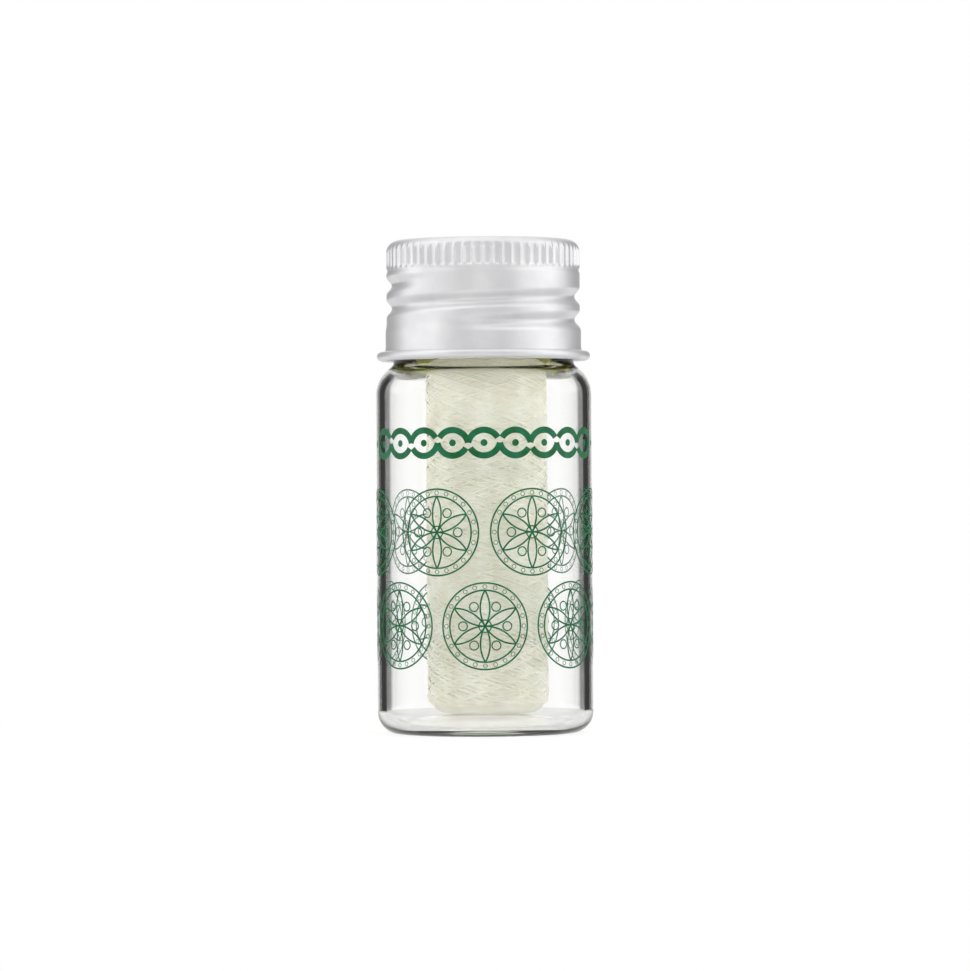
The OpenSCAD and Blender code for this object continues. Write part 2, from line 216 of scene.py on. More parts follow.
@dataclass(frozen=True)
class DrawnGlass(Finish):
    """Clear soda glass tube. It bends what is behind it, darkens at its edges where light runs
    far through it, and its drawn surface has very faint streaks along the tube."""

    name: str = "clear_glass_drawn_tube"
    tint: str = "#ffffff"
    depth_tint: str = "#dee4c4"
    depth_density: float = 28.0
    streak_w: float = 1.6 * MM
    streak_stretch: float = 0.06
    streak_depth: float = 0.0012 * MM

    def surface(self, tree: bpy.types.NodeTree) -> bpy.types.Node:
        """Adds a clear coatless glass with faint draw streaks.

        Args:
            tree: Node tree that takes the nodes.

        Returns:
            The shader's node.
        """
        place = object_place(tree, (1, 1, self.streak_stretch))
        streaks = add_node(tree, "TexNoise", {"Vector": place, "Scale": 1 / self.streak_w})
        inputs = {
            "Base Color": linear(self.tint),
            "Roughness": 0.0,
            "IOR": 1.5,
            "Transmission Weight": 1.0,
            "Normal": add_node(tree, "Bump", {"Height": streaks, "Distance": self.streak_depth}),
        }
        return add_node(tree, "BsdfPrincipled", inputs)

    def inside(self, tree: bpy.types.NodeTree) -> bpy.types.Node:
        """Adds the faint green that long ways through the glass take on."""
        inputs = {"Color": linear(self.depth_tint), "Density": self.depth_density}
        return add_node(tree, "VolumeAbsorption", inputs)


@dataclass(frozen=True)
class RolledAluminium(Finish):
    """Aluminium closure sheet, matt lacquered and rolled. It gives wide soft reflections of the
    room, a fine grain from the rolls, and slightly duller patches where it was handled."""

    name: str = "aluminium_sheet_satin_rolled"
    light: str = "#e9e9ea"
    dark: str = "#dddddf"
    roughness: Pair = (0.36, 0.44)
    patch: float = 6 * MM
    # The real grain is about 0.05 mm and is drawn coarser, so that it shows
    grain: float = 0.22 * MM
    grain_depth: float = 0.006 * MM
    dent: float = 3.5 * MM
    dent_depth: float = 0.008 * MM

    def surface(self, tree: bpy.types.NodeTree) -> bpy.types.Node:
        """Adds a satin metal with grain, faint unevenness and duller patches.

        Args:
            tree: Node tree that takes the nodes.

        Returns:
            The shader's node.
        """
        place = object_place(tree)
        patches = add_node(tree, "TexNoise", {"Vector": place, "Scale": 1 / self.patch, "Detail": 4})
        grain = add_node(tree, "TexNoise", {"Vector": place, "Scale": 1 / self.grain})
        dents = add_node(tree, "TexNoise", {"Vector": place, "Scale": 1 / self.dent, "Detail": 1})
        uneven = add_node(tree, "Bump", {"Height": dents, "Distance": self.dent_depth})
        inputs = {
            "Base Color": patchy(tree, patches, self.light, self.dark),
            "Metallic": 1.0,
            "Roughness": add_node(tree, "MapRange", (patches, *MIDDLE, *self.roughness)),
            "Normal": add_node(
                tree, "Bump", {"Height": grain, "Distance": self.grain_depth, "Normal": uneven}
            ),
        }
        return add_node(tree, "BsdfPrincipled", inputs)


@dataclass(frozen=True)
class GoldLacquer(Finish):
    """Gold epoxy lacquer, rolled on the inner side of the closure sheet. The metal shines
    through it in a dull greenish gold, which tints the glass that stands inside the cap. The
    edge that becomes the curl is left bare."""

    name: str = "epoxy_lacquer_gold_on_aluminium"
    light: str = "#dedb84"
    dark: str = "#d0cc74"
    roughness: Pair = (0.3, 0.4)
    patch: float = 5 * MM
    # The lacquer hides the rest of the metal
    metal_share: float = 0.3
    skin: float = 0.5 * MM
    skin_depth: float = 0.004 * MM

    def surface(self, tree: bpy.types.NodeTree) -> bpy.types.Node:
        """Adds a lacquered metal of slightly uneven thickness.

        Args:
            tree: Node tree that takes the nodes.

        Returns:
            The shader's node.
        """
        place = object_place(tree)
        patches = add_node(tree, "TexNoise", {"Vector": place, "Scale": 1 / self.patch, "Detail": 3})
        skin = add_node(tree, "TexNoise", {"Vector": place, "Scale": 1 / self.skin})
        inputs = {
            "Base Color": patchy(tree, patches, self.light, self.dark),
            "Metallic": self.metal_share,
            "Roughness": add_node(tree, "MapRange", (patches, *MIDDLE, *self.roughness)),
            "Normal": add_node(tree, "Bump", {"Height": skin, "Distance": self.skin_depth}),
        }
        return add_node(tree, "BsdfPrincipled", inputs)


@dataclass(frozen=True)
class FoamSheet(Finish):
    """Expanded polyethylene sheet, cut to a disc. Its skin shows flat closed cells."""

    name: str = "polyethylene_foam_sheet"
    light: str = "#f6f4ee"
    dark: str = "#e6e3da"
    cell: float = 0.45 * MM
    cell_depth: float = 0.06 * MM
    # Distances from a cell's middle, as shares of its size, over which the colour changes
    cell_reach: Pair = (0.2, 0.8)

    def surface(self, tree: bpy.types.NodeTree) -> bpy.types.Node:
        """Adds a matt foam with closed cells.

        Args:
            tree: Node tree that takes the nodes.

        Returns:
            The shader's node.
        """
        cells = add_node(tree, "TexVoronoi", {"Vector": object_place(tree), "Scale": 1 / self.cell})
        inputs = {
            "Base Color": patchy(tree, cells, self.light, self.dark, self.cell_reach),
            "Roughness": 0.78,
            "Normal": add_node(tree, "Bump", {"Height": cells, "Distance": -self.cell_depth}),
        }
        return add_node(tree, "BsdfPrincipled", inputs)


@dataclass(frozen=True)
class MouldedPlastic(Finish):
    """White low-density polyethylene, injection moulded. It is a little waxy and lets light in,
    and its satin skin has the fine texture of the mould."""

    name: str = "polyethylene_white_moulded"
    light: str = "#f7f6f1"
    dark: str = "#eeece4"
    roughness: Pair = (0.36, 0.5)
    flow: float = 5 * MM
    skin: float = 0.3 * MM
    skin_depth: float = 0.004 * MM

    def surface(self, tree: bpy.types.NodeTree) -> bpy.types.Node:
        """Adds a waxy satin plastic.

        Args:
            tree: Node tree that takes the nodes.

        Returns:
            The shader's node.
        """
        place = object_place(tree)
        flow = add_node(tree, "TexNoise", {"Vector": place, "Scale": 1 / self.flow})
        skin = add_node(tree, "TexNoise", {"Vector": place, "Scale": 1 / self.skin})
        inputs = {
            "Base Color": patchy(tree, flow, self.light, self.dark),
            "Roughness": add_node(tree, "MapRange", (skin, *MIDDLE, *self.roughness)),
            "Subsurface Weight": 0.25,
            "Subsurface Radius": (1.2, 1.1, 0.9),
            "Subsurface Scale": MM,
            "Normal": add_node(tree, "Bump", {"Height": skin, "Distance": self.skin_depth}),
        }
        return add_node(tree, "BsdfPrincipled", inputs)


@dataclass(frozen=True)
class StampedSteel(Finish):
    """Stainless steel strip, rolled bright and stamped. Fine roll lines run along the strip."""

    name: str = "stainless_steel_strip_stamped"
    light: str = "#c9cbcd"
    dark: str = "#aeb1b4"
    roughness: Pair = (0.22, 0.34)
    line: float = 0.12 * MM
    line_stretch: float = 0.05
    line_depth: float = 0.003 * MM

    def surface(self, tree: bpy.types.NodeTree) -> bpy.types.Node:
        """Adds a bright metal with lines along its width.

        Args:
            tree: Node tree that takes the nodes.

        Returns:
            The shader's node.
        """
        place = object_place(tree, (self.line_stretch, 1, 1))
        lines = add_node(tree, "TexNoise", {"Vector": place, "Scale": 1 / self.line})
        inputs = {
            "Base Color": patchy(tree, lines, self.light, self.dark),
            "Metallic": 1.0,
            "Roughness": add_node(tree, "MapRange", (lines, *MIDDLE, *self.roughness)),
            "Normal": add_node(tree, "Bump", {"Height": lines, "Distance": self.line_depth}),
        }
        return add_node(tree, "BsdfPrincipled", inputs)


@dataclass(frozen=True)
class WaxedFloss(Finish):
    """Bleached filament yarn with a light coat of wax. It is a warm cream with a soft sheen, and
    its filaments run along the strand."""

    name: str = "floss_yarn_waxed"
    light: str = "#f7f5e9"
    dark: str = "#ece9d8"
    # Filaments are about 0.02 mm thick and are drawn as bundles, so that they show
    bundle: float = 0.07 * MM
    bundle_depth: float = 0.012 * MM
    patch: float = 3.2 * MM

    def surface(self, tree: bpy.types.NodeTree) -> bpy.types.Node:
        """Adds a soft cream fibre whose bundles follow the strand's own UV map.

        Args:
            tree: Node tree that takes the nodes.

        Returns:
            The shader's node.
        """
        strand = add_node(tree, "UVMap", uv_map=Strand.UV_NAME)
        bundles = add_node(tree, "TexNoise", {"Vector": strand, "Scale": 1 / self.bundle})
        inputs = {"Vector": object_place(tree), "Scale": 1 / self.patch}
        patches = add_node(tree, "TexNoise", inputs)
        inputs = {
            "Base Color": patchy(tree, patches, self.light, self.dark),
            "Roughness": 0.62,
            "Sheen Weight": 0.25,
            "Sheen Roughness": 0.4,
            "Normal": add_node(tree, "Bump", {"Height": bundles, "Distance": self.bundle_depth}),
        }
        return add_node(tree, "BsdfPrincipled", inputs)


@dataclass(frozen=True)
class ScreenInk(Finish):
    """Green enamel ink, screen printed on glass. It is nearly opaque and a little glossy, and
    thinner in places."""

    name: str = "enamel_ink_screen_printed"
    deep: str = "#085c2c"
    thin: str = "#16704c"
    roughness: Pair = (0.4, 0.5)
    patch: float = 1.4 * MM

    def surface(self, tree: bpy.types.NodeTree) -> bpy.types.Node:
        """Adds an ink of uneven depth.

        Args:
            tree: Node tree that takes the nodes.

        Returns:
            The shader's node.
        """
        inputs = {"Vector": object_place(tree), "Scale": 1 / self.patch, "Detail": 3}
        depth = add_node(tree, "TexNoise", inputs)
        inputs = {
            "Base Color": patchy(tree, depth, self.deep, self.thin),
            "Roughness": add_node(tree, "MapRange", (depth, *MIDDLE, *self.roughness)),
            "Specular IOR Level": 0.25,
        }
        return add_node(tree, "BsdfPrincipled", inputs)


# Modelling


def pick(*objects: bpy.types.Object) -> None:
    """Selects only these objects and makes the first one active.

    Args:
        *objects: Objects to select, none to leave nothing selected.
    """
    bpy.ops.object.select_all(action="DESELECT")
    for each in objects:
        each.select_set(True)
    if objects:
        bpy.context.view_layer.objects.active = objects[0]


def settle() -> bpy.types.Object:
    """Leaves edit mode and puts the active object's place into its mesh.

    Returns:
        The active object.
    """
    bpy.ops.object.mode_set(mode="OBJECT")
    made = bpy.context.object
    pick(made)
    bpy.ops.object.transform_apply(location=True, rotation=True, scale=True)
    return made


def draw_line(name: str, points: Sequence[Vector]) -> None:
    """Starts an object at a point, extrudes it along a line and leaves it in edit mode.

    Args:
        name: Name of the new object.
        points: Points of the line.
    """
    pick()
    bpy.ops.mesh.primitive_plane_add(size=MM, location=points[0])
    bpy.context.object.name = name
    bpy.ops.object.transform_apply(location=True, rotation=True, scale=True)
    bpy.ops.object.mode_set(mode="EDIT")
    bpy.ops.mesh.select_all(action="SELECT")
    bpy.ops.mesh.merge(type="CENTER")
    for before, after in zip(points, points[1:]):
        bpy.ops.mesh.extrude_region_move(TRANSFORM_OT_translate={"value": after - before})
    bpy.ops.mesh.select_all(action="SELECT")


def close_mesh() -> None:
    """Merges doubled points of the mesh in edit mode and turns its faces outwards."""
    bpy.ops.mesh.select_all(action="SELECT")
    bpy.ops.mesh.remove_doubles(threshold=WELD)
    bpy.ops.mesh.normals_make_consistent(inside=False)


def lathe(name: str, outline: Sequence[Point], steps: int) -> bpy.types.Object:
    """Spins an outline round the Z axis.

    Args:
        name: Name of the new object.
        outline: Points as radius and height. A hollow ring's outline ends where it starts.
        steps: Faces round the axis.

    Returns:
        The spun object.
    """
    draw_line(name, [Vector((r, 0, z)) for r, z in outline])
    bpy.ops.mesh.spin(steps=steps, angle=math.tau, center=(0, 0, 0), axis=(0, 0, 1))
    close_mesh()
    return settle()


def prism(name: str, outline: Sequence[Vector], push: Vector) -> bpy.types.Object:
    """Fills a closed outline and extrudes it.

    Args:
        name: Name of the new object.
        outline: Points in one plane, each once.
        push: Direction and length of the extrusion.

    Returns:
        The solid.
    """
    draw_line(name, [*outline, outline[0]])
    bpy.ops.mesh.remove_doubles(threshold=WELD)
    bpy.ops.mesh.edge_face_add()
    bpy.ops.mesh.extrude_region_move(TRANSFORM_OT_translate={"value": push})
    close_mesh()
    return settle()


def modify(obj: bpy.types.Object, kind: str, **settings: Any) -> None:
    """Adds a modifier and applies it.

    Args:
        obj: Object that takes it.
        kind: Type name of the modifier.
        **settings: Properties of the modifier.
    """
    pick(obj)
    modifier = obj.modifiers.new(kind.title(), kind)
    for name, value in settings.items():
        setattr(modifier, name, value)
    bpy.ops.object.modifier_apply(modifier=modifier.name)


def cut(obj: bpy.types.Object, *tools: bpy.types.Object) -> None:
    """Cuts tool shapes out of an object and deletes them.

    Args:
        obj: Object that is cut.
        *tools: Solids that are taken away from it.
    """
    for tool in tools:
        modify(obj, "BOOLEAN", operation="DIFFERENCE", solver="EXACT", object=tool)
        bpy.data.objects.remove(tool)


def join(name: str, *parts: bpy.types.Object) -> bpy.types.Object:
    """Joins objects into one.

    Args:
        name: Its new name.
        *parts: Objects to join.

    Returns:
        The joined object.
    """
    pick(*parts)
    bpy.ops.object.join()
    made = bpy.context.object
    made.name = name
    return made


def copy_of(obj: bpy.types.Object, shift: Vector) -> bpy.types.Object:
    """Copies an object with its mesh.

    Args:
        obj: Object to copy.
        shift: Way by which the copy's mesh is moved.

    Returns:
        The copy.
    """
    made = obj.copy()
    made.data = obj.data.copy()
    made.data.transform(Matrix.Translation(shift))
    bpy.context.scene.collection.objects.link(made)
    return made


def reshape(obj: bpy.types.Object, move: Callable[[np.ndarray], np.ndarray]) -> None:
    """Moves every point of a mesh by a rule.

    Args:
        obj: Object whose mesh is moved.
        move: Function from the old places to the new ones, as rows of X, Y and Z.
    """
    places = np.empty(len(obj.data.vertices) * 3)
    obj.data.vertices.foreach_get("co", places)
    obj.data.vertices.foreach_set("co", move(places.reshape(-1, 3)).ravel())
    obj.data.update()


def smooth_shading(obj: bpy.types.Object, degrees: float = 40) -> None:
    """Shades smooth where faces meet at less than an angle."""
    pick(obj)
    bpy.ops.object.shade_smooth_by_angle(angle=math.radians(degrees))


def arc(centre: Point, radius: float, start: float, end: float, steps: int) -> list[Point]:
    """Works out the points of an arc.

    Args:
        centre: Middle of the arc.
        radius: Its radius.
        start: Angle of the first point, in degrees.
        end: Angle of the last point, in degrees.
        steps: Number of equal steps.

    Returns:
        The points.
    """
    turns = [math.radians(start + (end - start) * i / steps) for i in range(steps + 1)]
    return [(centre[0] + radius * math.cos(a), centre[1] + radius * math.sin(a)) for a in turns]


def rounded(corners: Sequence[Corner], steps: int = 4) -> list[Point]:
    """Rounds the corners of an outline.

    Args:
        corners: Corners as radius, height and rounding radius. The two ends stay sharp.
        steps: Steps in each rounding.

    Returns:
        The points of the rounded outline.
    """
    points = [Vector(corner[:2]) for corner in corners]
    out: list[Point] = [tuple(points[0])]
    for before, here, after, corner in zip(points, points[1:], points[2:], corners[1:]):
        if not corner[2]:
            out.append(tuple(here))
            continue
        back, ahead = (before - here).normalized(), (after - here).normalized()
        half = back.angle(ahead) / 2
        centre = here + (back + ahead).normalized() * corner[2] / math.sin(half)
        reach = corner[2] / math.tan(half)
        first, last = here + back * reach - centre, here + ahead * reach - centre
        rim = [first.lerp(last, i / steps).normalized() * corner[2] for i in range(steps + 1)]
        out.extend(tuple(centre + spoke) for spoke in rim)
    return [*out, tuple(points[-1])]


def straight(start: Point, end: Point, step: float) -> list[Point]:
    """Divides a straight line into equal steps.

    Args:
        start: First point.
        end: Last point.
        step: Length that the steps come near to.

    Returns:
        The points, ends included.
    """
    count = max(1, round(math.dist(start, end) / step))
    return [
        (start[0] + (end[0] - start[0]) * i / count, start[1] + (end[1] - start[1]) * i / count)
        for i in range(count + 1)
    ]


def circle(centre: Point, radius: float, corners: int = 24) -> list[Point]:
    """Works out the corners of a round outline, each once."""
    return arc(centre, radius, 0, 360 - 360 / corners, corners - 1)


def ease(x: np.ndarray) -> np.ndarray:
    """Rises smoothly from 0 to 1 as x does."""
    t = np.clip(x, 0, 1)
    return t * t * (3 - 2 * t)


def dress(
    obj: bpy.types.Object, finish: Finish | None, body: Body, slot: Slot | None, *nodes: str
) -> None:
    """Gives a piece its material, its body and the solids that it stands for.

    Args:
        obj: Finished piece.
        finish: Its finish, or none where its faces have theirs already.
        body: Body that carries it.
        slot: The record's slot for its finish, if it has one. It is not used.
        *nodes: Solids that it replaces.
    """
    if finish:
        obj.data.materials.clear()
        obj.data.materials.append(finish.material())
    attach(obj, body.value)
    if nodes:
        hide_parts(*nodes)
    LOG.info("%s rides on %s with %d faces", obj.name, body.value, len(obj.data.polygons))


@dataclass
class Helix:
    """A screw thread that rises and dies away over its two ends."""

    pitch: float
    datum_z: float
    start: float
    turns: float
    fade: float = 50

    def height(self, places: np.ndarray, profile: Callable[[np.ndarray], np.ndarray]) -> np.ndarray:
        """Works out the thread's height at places round its axis.

        Args:
            places: Rows of X, Y and Z.
            profile: Height, from 0 to 1, by the distance along the axis from the thread's middle.

        Returns:
            The height at each place, from 0 to 1.
        """
        turn = np.degrees(np.arctan2(places[:, 1], places[:, 0]))
        end = self.start + 360 * self.turns
        best = np.zeros(len(places))
        # A place lies on one of these laps, of which there is one to spare at each end
        for lap in range(-1, int(self.turns) + 3):
            along = turn + 360 * lap
            faded = ease((along - self.start) / self.fade) * ease((end - along) / self.fade)
            away = np.abs(places[:, 2] - self.datum_z - self.pitch * along / 360)
            best = np.maximum(best, profile(away) * faded)
        return best


def pushed_out(places: np.ndarray, by: np.ndarray) -> np.ndarray:
    """Moves places away from the Z axis.

    Args:
        places: Rows of X, Y and Z.
        by: Distance for each of them.

    Returns:
        The moved places.
    """
    reach = np.hypot(places[:, 0], places[:, 1])
    scale = (reach + by) / np.maximum(reach, WELD)
    return np.column_stack([places[:, 0] * scale, places[:, 1] * scale, places[:, 2]])


# Sub-assemblies


@dataclass
class Vial:
    """The blown and drawn glass vial."""

    wall: float = 1.2 * MM
    punt_h: float = 1.5 * MM
    base_t: float = 1.3 * MM
    # The inner floor sinks this far towards its rim
    floor_dish: float = 1.4 * MM
    heel_r: float = 3 * MM
    foot_w: float = 0.6 * MM
    floor_corner_r: float = 1.8 * MM
    shoulder_r: float = 4.6 * MM
    shoulder_z: float = 47.05 * MM
    neck_step: float = 2.5 * MM
    neck_wall: float = 2.2 * MM
    fillet_r: float = 1 * MM
    ring_h: float = 1.8 * MM
    relief: float = 0.45 * MM
    ring_round: float = 0.3 * MM
    crest_h: float = 0.75 * MM
    crest_half: float = 0.35 * MM
    root_half: float = 0.95 * MM
    lip_round: float = 0.45 * MM
    mouth_round: float = 0.35 * MM
    bore_round: float = 3 * MM
    # Straight walls have a ring this close to each bend, so that their shading stays straight
    guard: float = 0.15 * MM
    # Points no further than this inside the thread's root are on the outer side
    skin: float = 0.1 * MM
    thread_step: float = 0.2 * MM
    hollow_steps: int = 12
    floor_steps: int = 14
    steps: int = 256
    thread: Helix = field(
        default_factory=lambda: Helix(PITCH, datum_z=58.993 * MM, start=12, turns=1.5)
    )

    def __post_init__(self) -> None:
        """Takes the vial's radius and height from the frame."""
        low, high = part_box("glass_vial")
        self.radius = (high.x - low.x) / 2
        self.lip_z = high.z
        self.neck_r = self.radius - self.neck_step
        self.bore_r = self.neck_r - self.neck_wall
        self.root_r = self.neck_r - self.relief
        self.floor_z = self.punt_h + self.base_t

    def outside(self) -> list[Point]:
        """Works out the outline of the outer side.

        Returns:
            Points from the middle of the base to the lip.
        """
        foot_r = self.radius - self.heel_r - self.foot_w
        shares = [i / self.hollow_steps for i in range(self.hollow_steps + 1)]
        hollow = [(foot_r * share, self.punt_h * (1 - share**2)) for share in shares]
        heel = arc((self.radius - self.heel_r, self.heel_r), self.heel_r, -90, 0, steps=14)
        shoulder_c = (self.radius - self.shoulder_r, self.shoulder_z)
        fillet_x = self.neck_r + self.fillet_r
        rise = math.sqrt((self.shoulder_r + self.fillet_r) ** 2 - (fillet_x - shoulder_c[0]) ** 2)
        fillet_c = (fillet_x, self.shoulder_z + rise)
        meet = math.degrees(math.atan2(rise, fillet_x - shoulder_c[0]))
        ring_z = fillet_c[1] + self.ring_h
        body = [
            (self.radius, self.heel_r + self.guard),
            (self.radius, self.shoulder_z - self.guard),
        ]
        ring = [
            (self.neck_r, fillet_c[1] + self.guard, 0),
            (self.neck_r, ring_z, self.ring_round),
            (self.root_r, ring_z + self.relief, self.ring_round),
            (self.root_r, ring_z + 2 * self.relief, 0),
        ]
        neck = straight(
            (self.root_r, ring_z + 2 * self.relief + self.guard),
            (self.root_r, self.lip_z - self.lip_round - self.guard),
            self.thread_step,
        )
        lip_c = (self.root_r - self.lip_round, self.lip_z - self.lip_round)
        return [
            *hollow,
            *heel,
            *body,
            *arc(shoulder_c, self.shoulder_r, 0, meet, steps=16),
            *arc(fillet_c, self.fillet_r, 180 + meet, 180, steps=6)[1:],
            *rounded(ring),
            *neck,
            *arc(lip_c, self.lip_round, 0, 90, steps=6),
        ]

    def inside(self) -> list[Point]:
        """Works out the outline of the inner side.

        Returns:
            Points from the mouth down to the middle of the floor.
        """
        inner_r = self.radius - self.wall
        inner_shoulder = self.shoulder_r - self.wall
        shoulder_c = (self.radius - self.shoulder_r, self.shoulder_z)
        mouth_c = (self.bore_r + self.mouth_round, self.lip_z - self.mouth_round)
        mouth = arc(mouth_c, self.mouth_round, 90, 180, steps=5)
        bend_x = self.bore_r + self.bore_round
        rise = math.sqrt((inner_shoulder + self.bore_round) ** 2 - (bend_x - shoulder_c[0]) ** 2)
        meet = math.degrees(math.atan2(rise, bend_x - shoulder_c[0]))
        bend = arc((bend_x, self.shoulder_z + rise), self.bore_round, 180, 180 + meet, steps=14)
        shoulder = arc(shoulder_c, inner_shoulder, meet, 0, steps=12)[1:]
        flat_r = inner_r - self.floor_corner_r
        tilt = math.atan2(2 * self.floor_dish, flat_r)
        end_r = flat_r + self.floor_corner_r * math.sin(tilt)
        drop = end_r * math.tan(tilt) / 2
        floor_c = (flat_r, self.floor_z - drop + self.floor_corner_r * math.cos(tilt))
        shares = [1 - i / self.floor_steps for i in range(1, self.floor_steps + 1)]
        return [
            *mouth,
            (self.bore_r, mouth[-1][1] - self.guard),
            (self.bore_r, bend[0][1] + self.guard),
            *bend,
            *shoulder,
            (inner_r, self.shoulder_z - self.guard),
            (inner_r, floor_c[1] + self.guard),
            *arc(floor_c, self.floor_corner_r, 0, math.degrees(tilt) - 90, steps=14),
            *[(end_r * share, self.floor_z - drop * share**2) for share in shares],
        ]

    def build(self) -> bpy.types.Object:
        """Spins the glass and raises the thread on its neck.

        Returns:
            The glass.
        """
        glass = lathe("vial_glass", [*self.outside(), *self.inside()], self.steps)

        def profile(away: np.ndarray) -> np.ndarray:
            """Slopes the thread's flanks."""
            return ease((self.root_half - away) / (self.root_half - self.crest_half))

        def raise_thread(places: np.ndarray) -> np.ndarray:
            """Pushes the neck's outer side out to the thread.

            Args:
                places: Rows of X, Y and Z.

            Returns:
                The moved places.
            """
            outer = np.hypot(places[:, 0], places[:, 1]) > self.root_r - self.skin
            height = self.thread.height(places, profile) * self.crest_h
            return pushed_out(places, np.where(outer & (places[:, 2] > self.shoulder_z), height, 0))

        reshape(glass, raise_thread)
        smooth_shading(glass, degrees=60)
        dress(glass, DrawnGlass(), Body.VIAL, Slot.GLASS, "glass_vial")
        return glass


@dataclass
class Print:
    """The green print round the vial: a braid over two rows of compass rosettes."""

    radius: float
    ink_out: float = 0.015 * MM
    ink_in: float = 0.03 * MM
    step: float = 0.33 * MM
    thin: float = 0.17 * MM
    line: float = 0.22 * MM
    rosette_r: float = 5.9 * MM
    petal_r: float = 4.9 * MM
    bead_r: float = 0.3 * MM
    beads: int = 24
    drop_r: float = 0.62 * MM
    # Distance of the drops from the middle, as a share of the petals' radius
    drop_place: float = 0.62
    hub_r: float = 0.85 * MM
    around: int = 7
    upper_z: float = 28 * MM
    lower_z: float = 15.2 * MM
    braid_z: float = 40.2 * MM
    braid_line: float = 0.86 * MM
    braid_amplitude: float = 1.75 * MM
    eye: float = 4.36 * MM
    eyes: int = 9
    # Radius of the dots in the eyes, as a share of the braid's line
    dot_share: float = 0.55
    gap: float = 0.32 * MM

    def stroke(
        self, centre: Point, radius: float, start: float, end: float, width: float
    ) -> bpy.types.Object:
        """Lays an arc of ink on the flat sheet, where X runs round the vial and Z is up.

        Args:
            centre: Middle of the arc.
            radius: Radius of the stroke's middle.
            start: Angle where it starts, in degrees from X.
            end: Angle where it ends. A full turn makes a ring.
            width: Width of the stroke.

        Returns:
            The stroke's solid.
        """
        turn = math.radians(start)
        out = Vector((math.cos(turn), 0, math.sin(turn)))
        middle = Vector((centre[0], 0, centre[1]))
        near, far = middle + out * (radius - width / 2), middle + out * (radius + width / 2)
        front, back = Vector((0, -self.ink_out, 0)), Vector((0, self.ink_in, 0))
        draw_line("stroke", [near + front, far + front, far + back, near + back, near + front])
        bpy.ops.mesh.remove_doubles(threshold=WELD)
        whole = abs(end - start) >= 360
        if not whole:
            bpy.ops.mesh.edge_face_add()
        sweep = math.radians(end - start)
        steps = max(3, math.ceil(abs(sweep) * radius / self.step))
        bpy.ops.mesh.spin(steps=steps, angle=sweep, center=middle, axis=(0, 1, 0))
        close_mesh()
        return settle()

    def dot(self, centre: Point, radius: float) -> bpy.types.Object:
        """Lays a round dot of ink on the flat sheet.

        Args:
            centre: Its middle.
            radius: Its radius.

        Returns:
            The dot's solid.
        """
        outline = [Vector((x, -self.ink_out, z)) for x, z in circle(centre, radius)]
        return prism("dot", outline, Vector((0, self.ink_out + self.ink_in, 0)))

    def rosette(self) -> bpy.types.Object:
        """Draws one rosette with a compass: two rings, beads, six petals, drops and a hub.

        Returns:
            The rosette, its middle at the origin.
        """
        ring_r = (self.rosette_r + self.petal_r) / 2
        parts = [
            self.stroke((0, 0), self.rosette_r, 0, 360, self.line),
            self.stroke((0, 0), self.petal_r, 0, 360, self.line),
            self.stroke((0, 0), self.hub_r, 0, 360, self.thin),
        ]
        for i in range(self.beads):
            turn = math.tau * i / self.beads
            at = (ring_r * math.cos(turn), ring_r * math.sin(turn))
            parts.append(self.stroke(at, self.bead_r, 0, 360, self.thin / 2))
        # A compass steps six times round its own circle
        for i in range(6):
            turn = math.radians(60 * i + 30)
            at = (self.petal_r * math.cos(turn), self.petal_r * math.sin(turn))
            parts.append(self.stroke(at, self.petal_r, 60 * i + 150, 60 * i + 270, self.line))
            lean = math.radians(60 * i)
            away = self.drop_place * self.petal_r
            at = (away * math.cos(lean), away * math.sin(lean))
            parts.append(self.stroke(at, self.drop_r, 0, 360, self.thin))
        return join("rosette", *parts)

    def braid(self) -> bpy.types.Object:
        """Lays two strands that cross over and under, with a dot in each eye.

        Returns:
            The braid.
        """
        half, rise = self.eye / 2, self.braid_amplitude
        bend_r = (half * half + rise * rise) / (2 * rise)
        reach = math.degrees(math.asin(half / bend_r))
        shy = math.degrees((self.braid_line / 2 + self.gap) / bend_r / math.sin(math.radians(reach)))
        start = -self.eyes * half
        parts = []
        for i in range(self.eyes):
            middle = start + (i + 0.5) * self.eye
            for side in (1, -1):
                over = (i % 2 == 0) == (side > 0)
                centre = (middle, self.braid_z + side * (rise - bend_r))
                left = reach - (0 if over else shy)
                right = reach - (shy if over else 0)
                if i == 0:
                    left = reach
                if i == self.eyes - 1:
                    right = reach
                ends = (side * (90 + left), side * (90 - right))
                parts.append(self.stroke(centre, bend_r, *ends, self.braid_line))
            parts.append(self.dot((middle, self.braid_z), self.braid_line * self.dot_share))
        # One more dot stands a third of an eye beyond each end
        for side in (-1, 1):
            parts.append(self.dot((side * (start - self.eye / 3), self.braid_z), self.braid_line / 2))
        return join("print_braid", *parts)

    def wrap(self, obj: bpy.types.Object) -> None:
        """Wraps a flat print round the vial, with its middle at the front, and dresses it.

        Args:
            obj: The flat print.
        """

        def bend(places: np.ndarray) -> np.ndarray:
            """Takes X as the way round the vial.

            Args:
                places: Rows of X, Y and Z on the flat sheet.

            Returns:
                The places round the vial.
            """
            turn = places[:, 0] / self.radius - math.pi / 2
            reach = self.radius - places[:, 1]
            return np.column_stack([reach * np.cos(turn), reach * np.sin(turn), places[:, 2]])

        reshape(obj, bend)
        smooth_shading(obj, degrees=30)
        dress(obj, ScreenInk(), Body.VIAL, None)

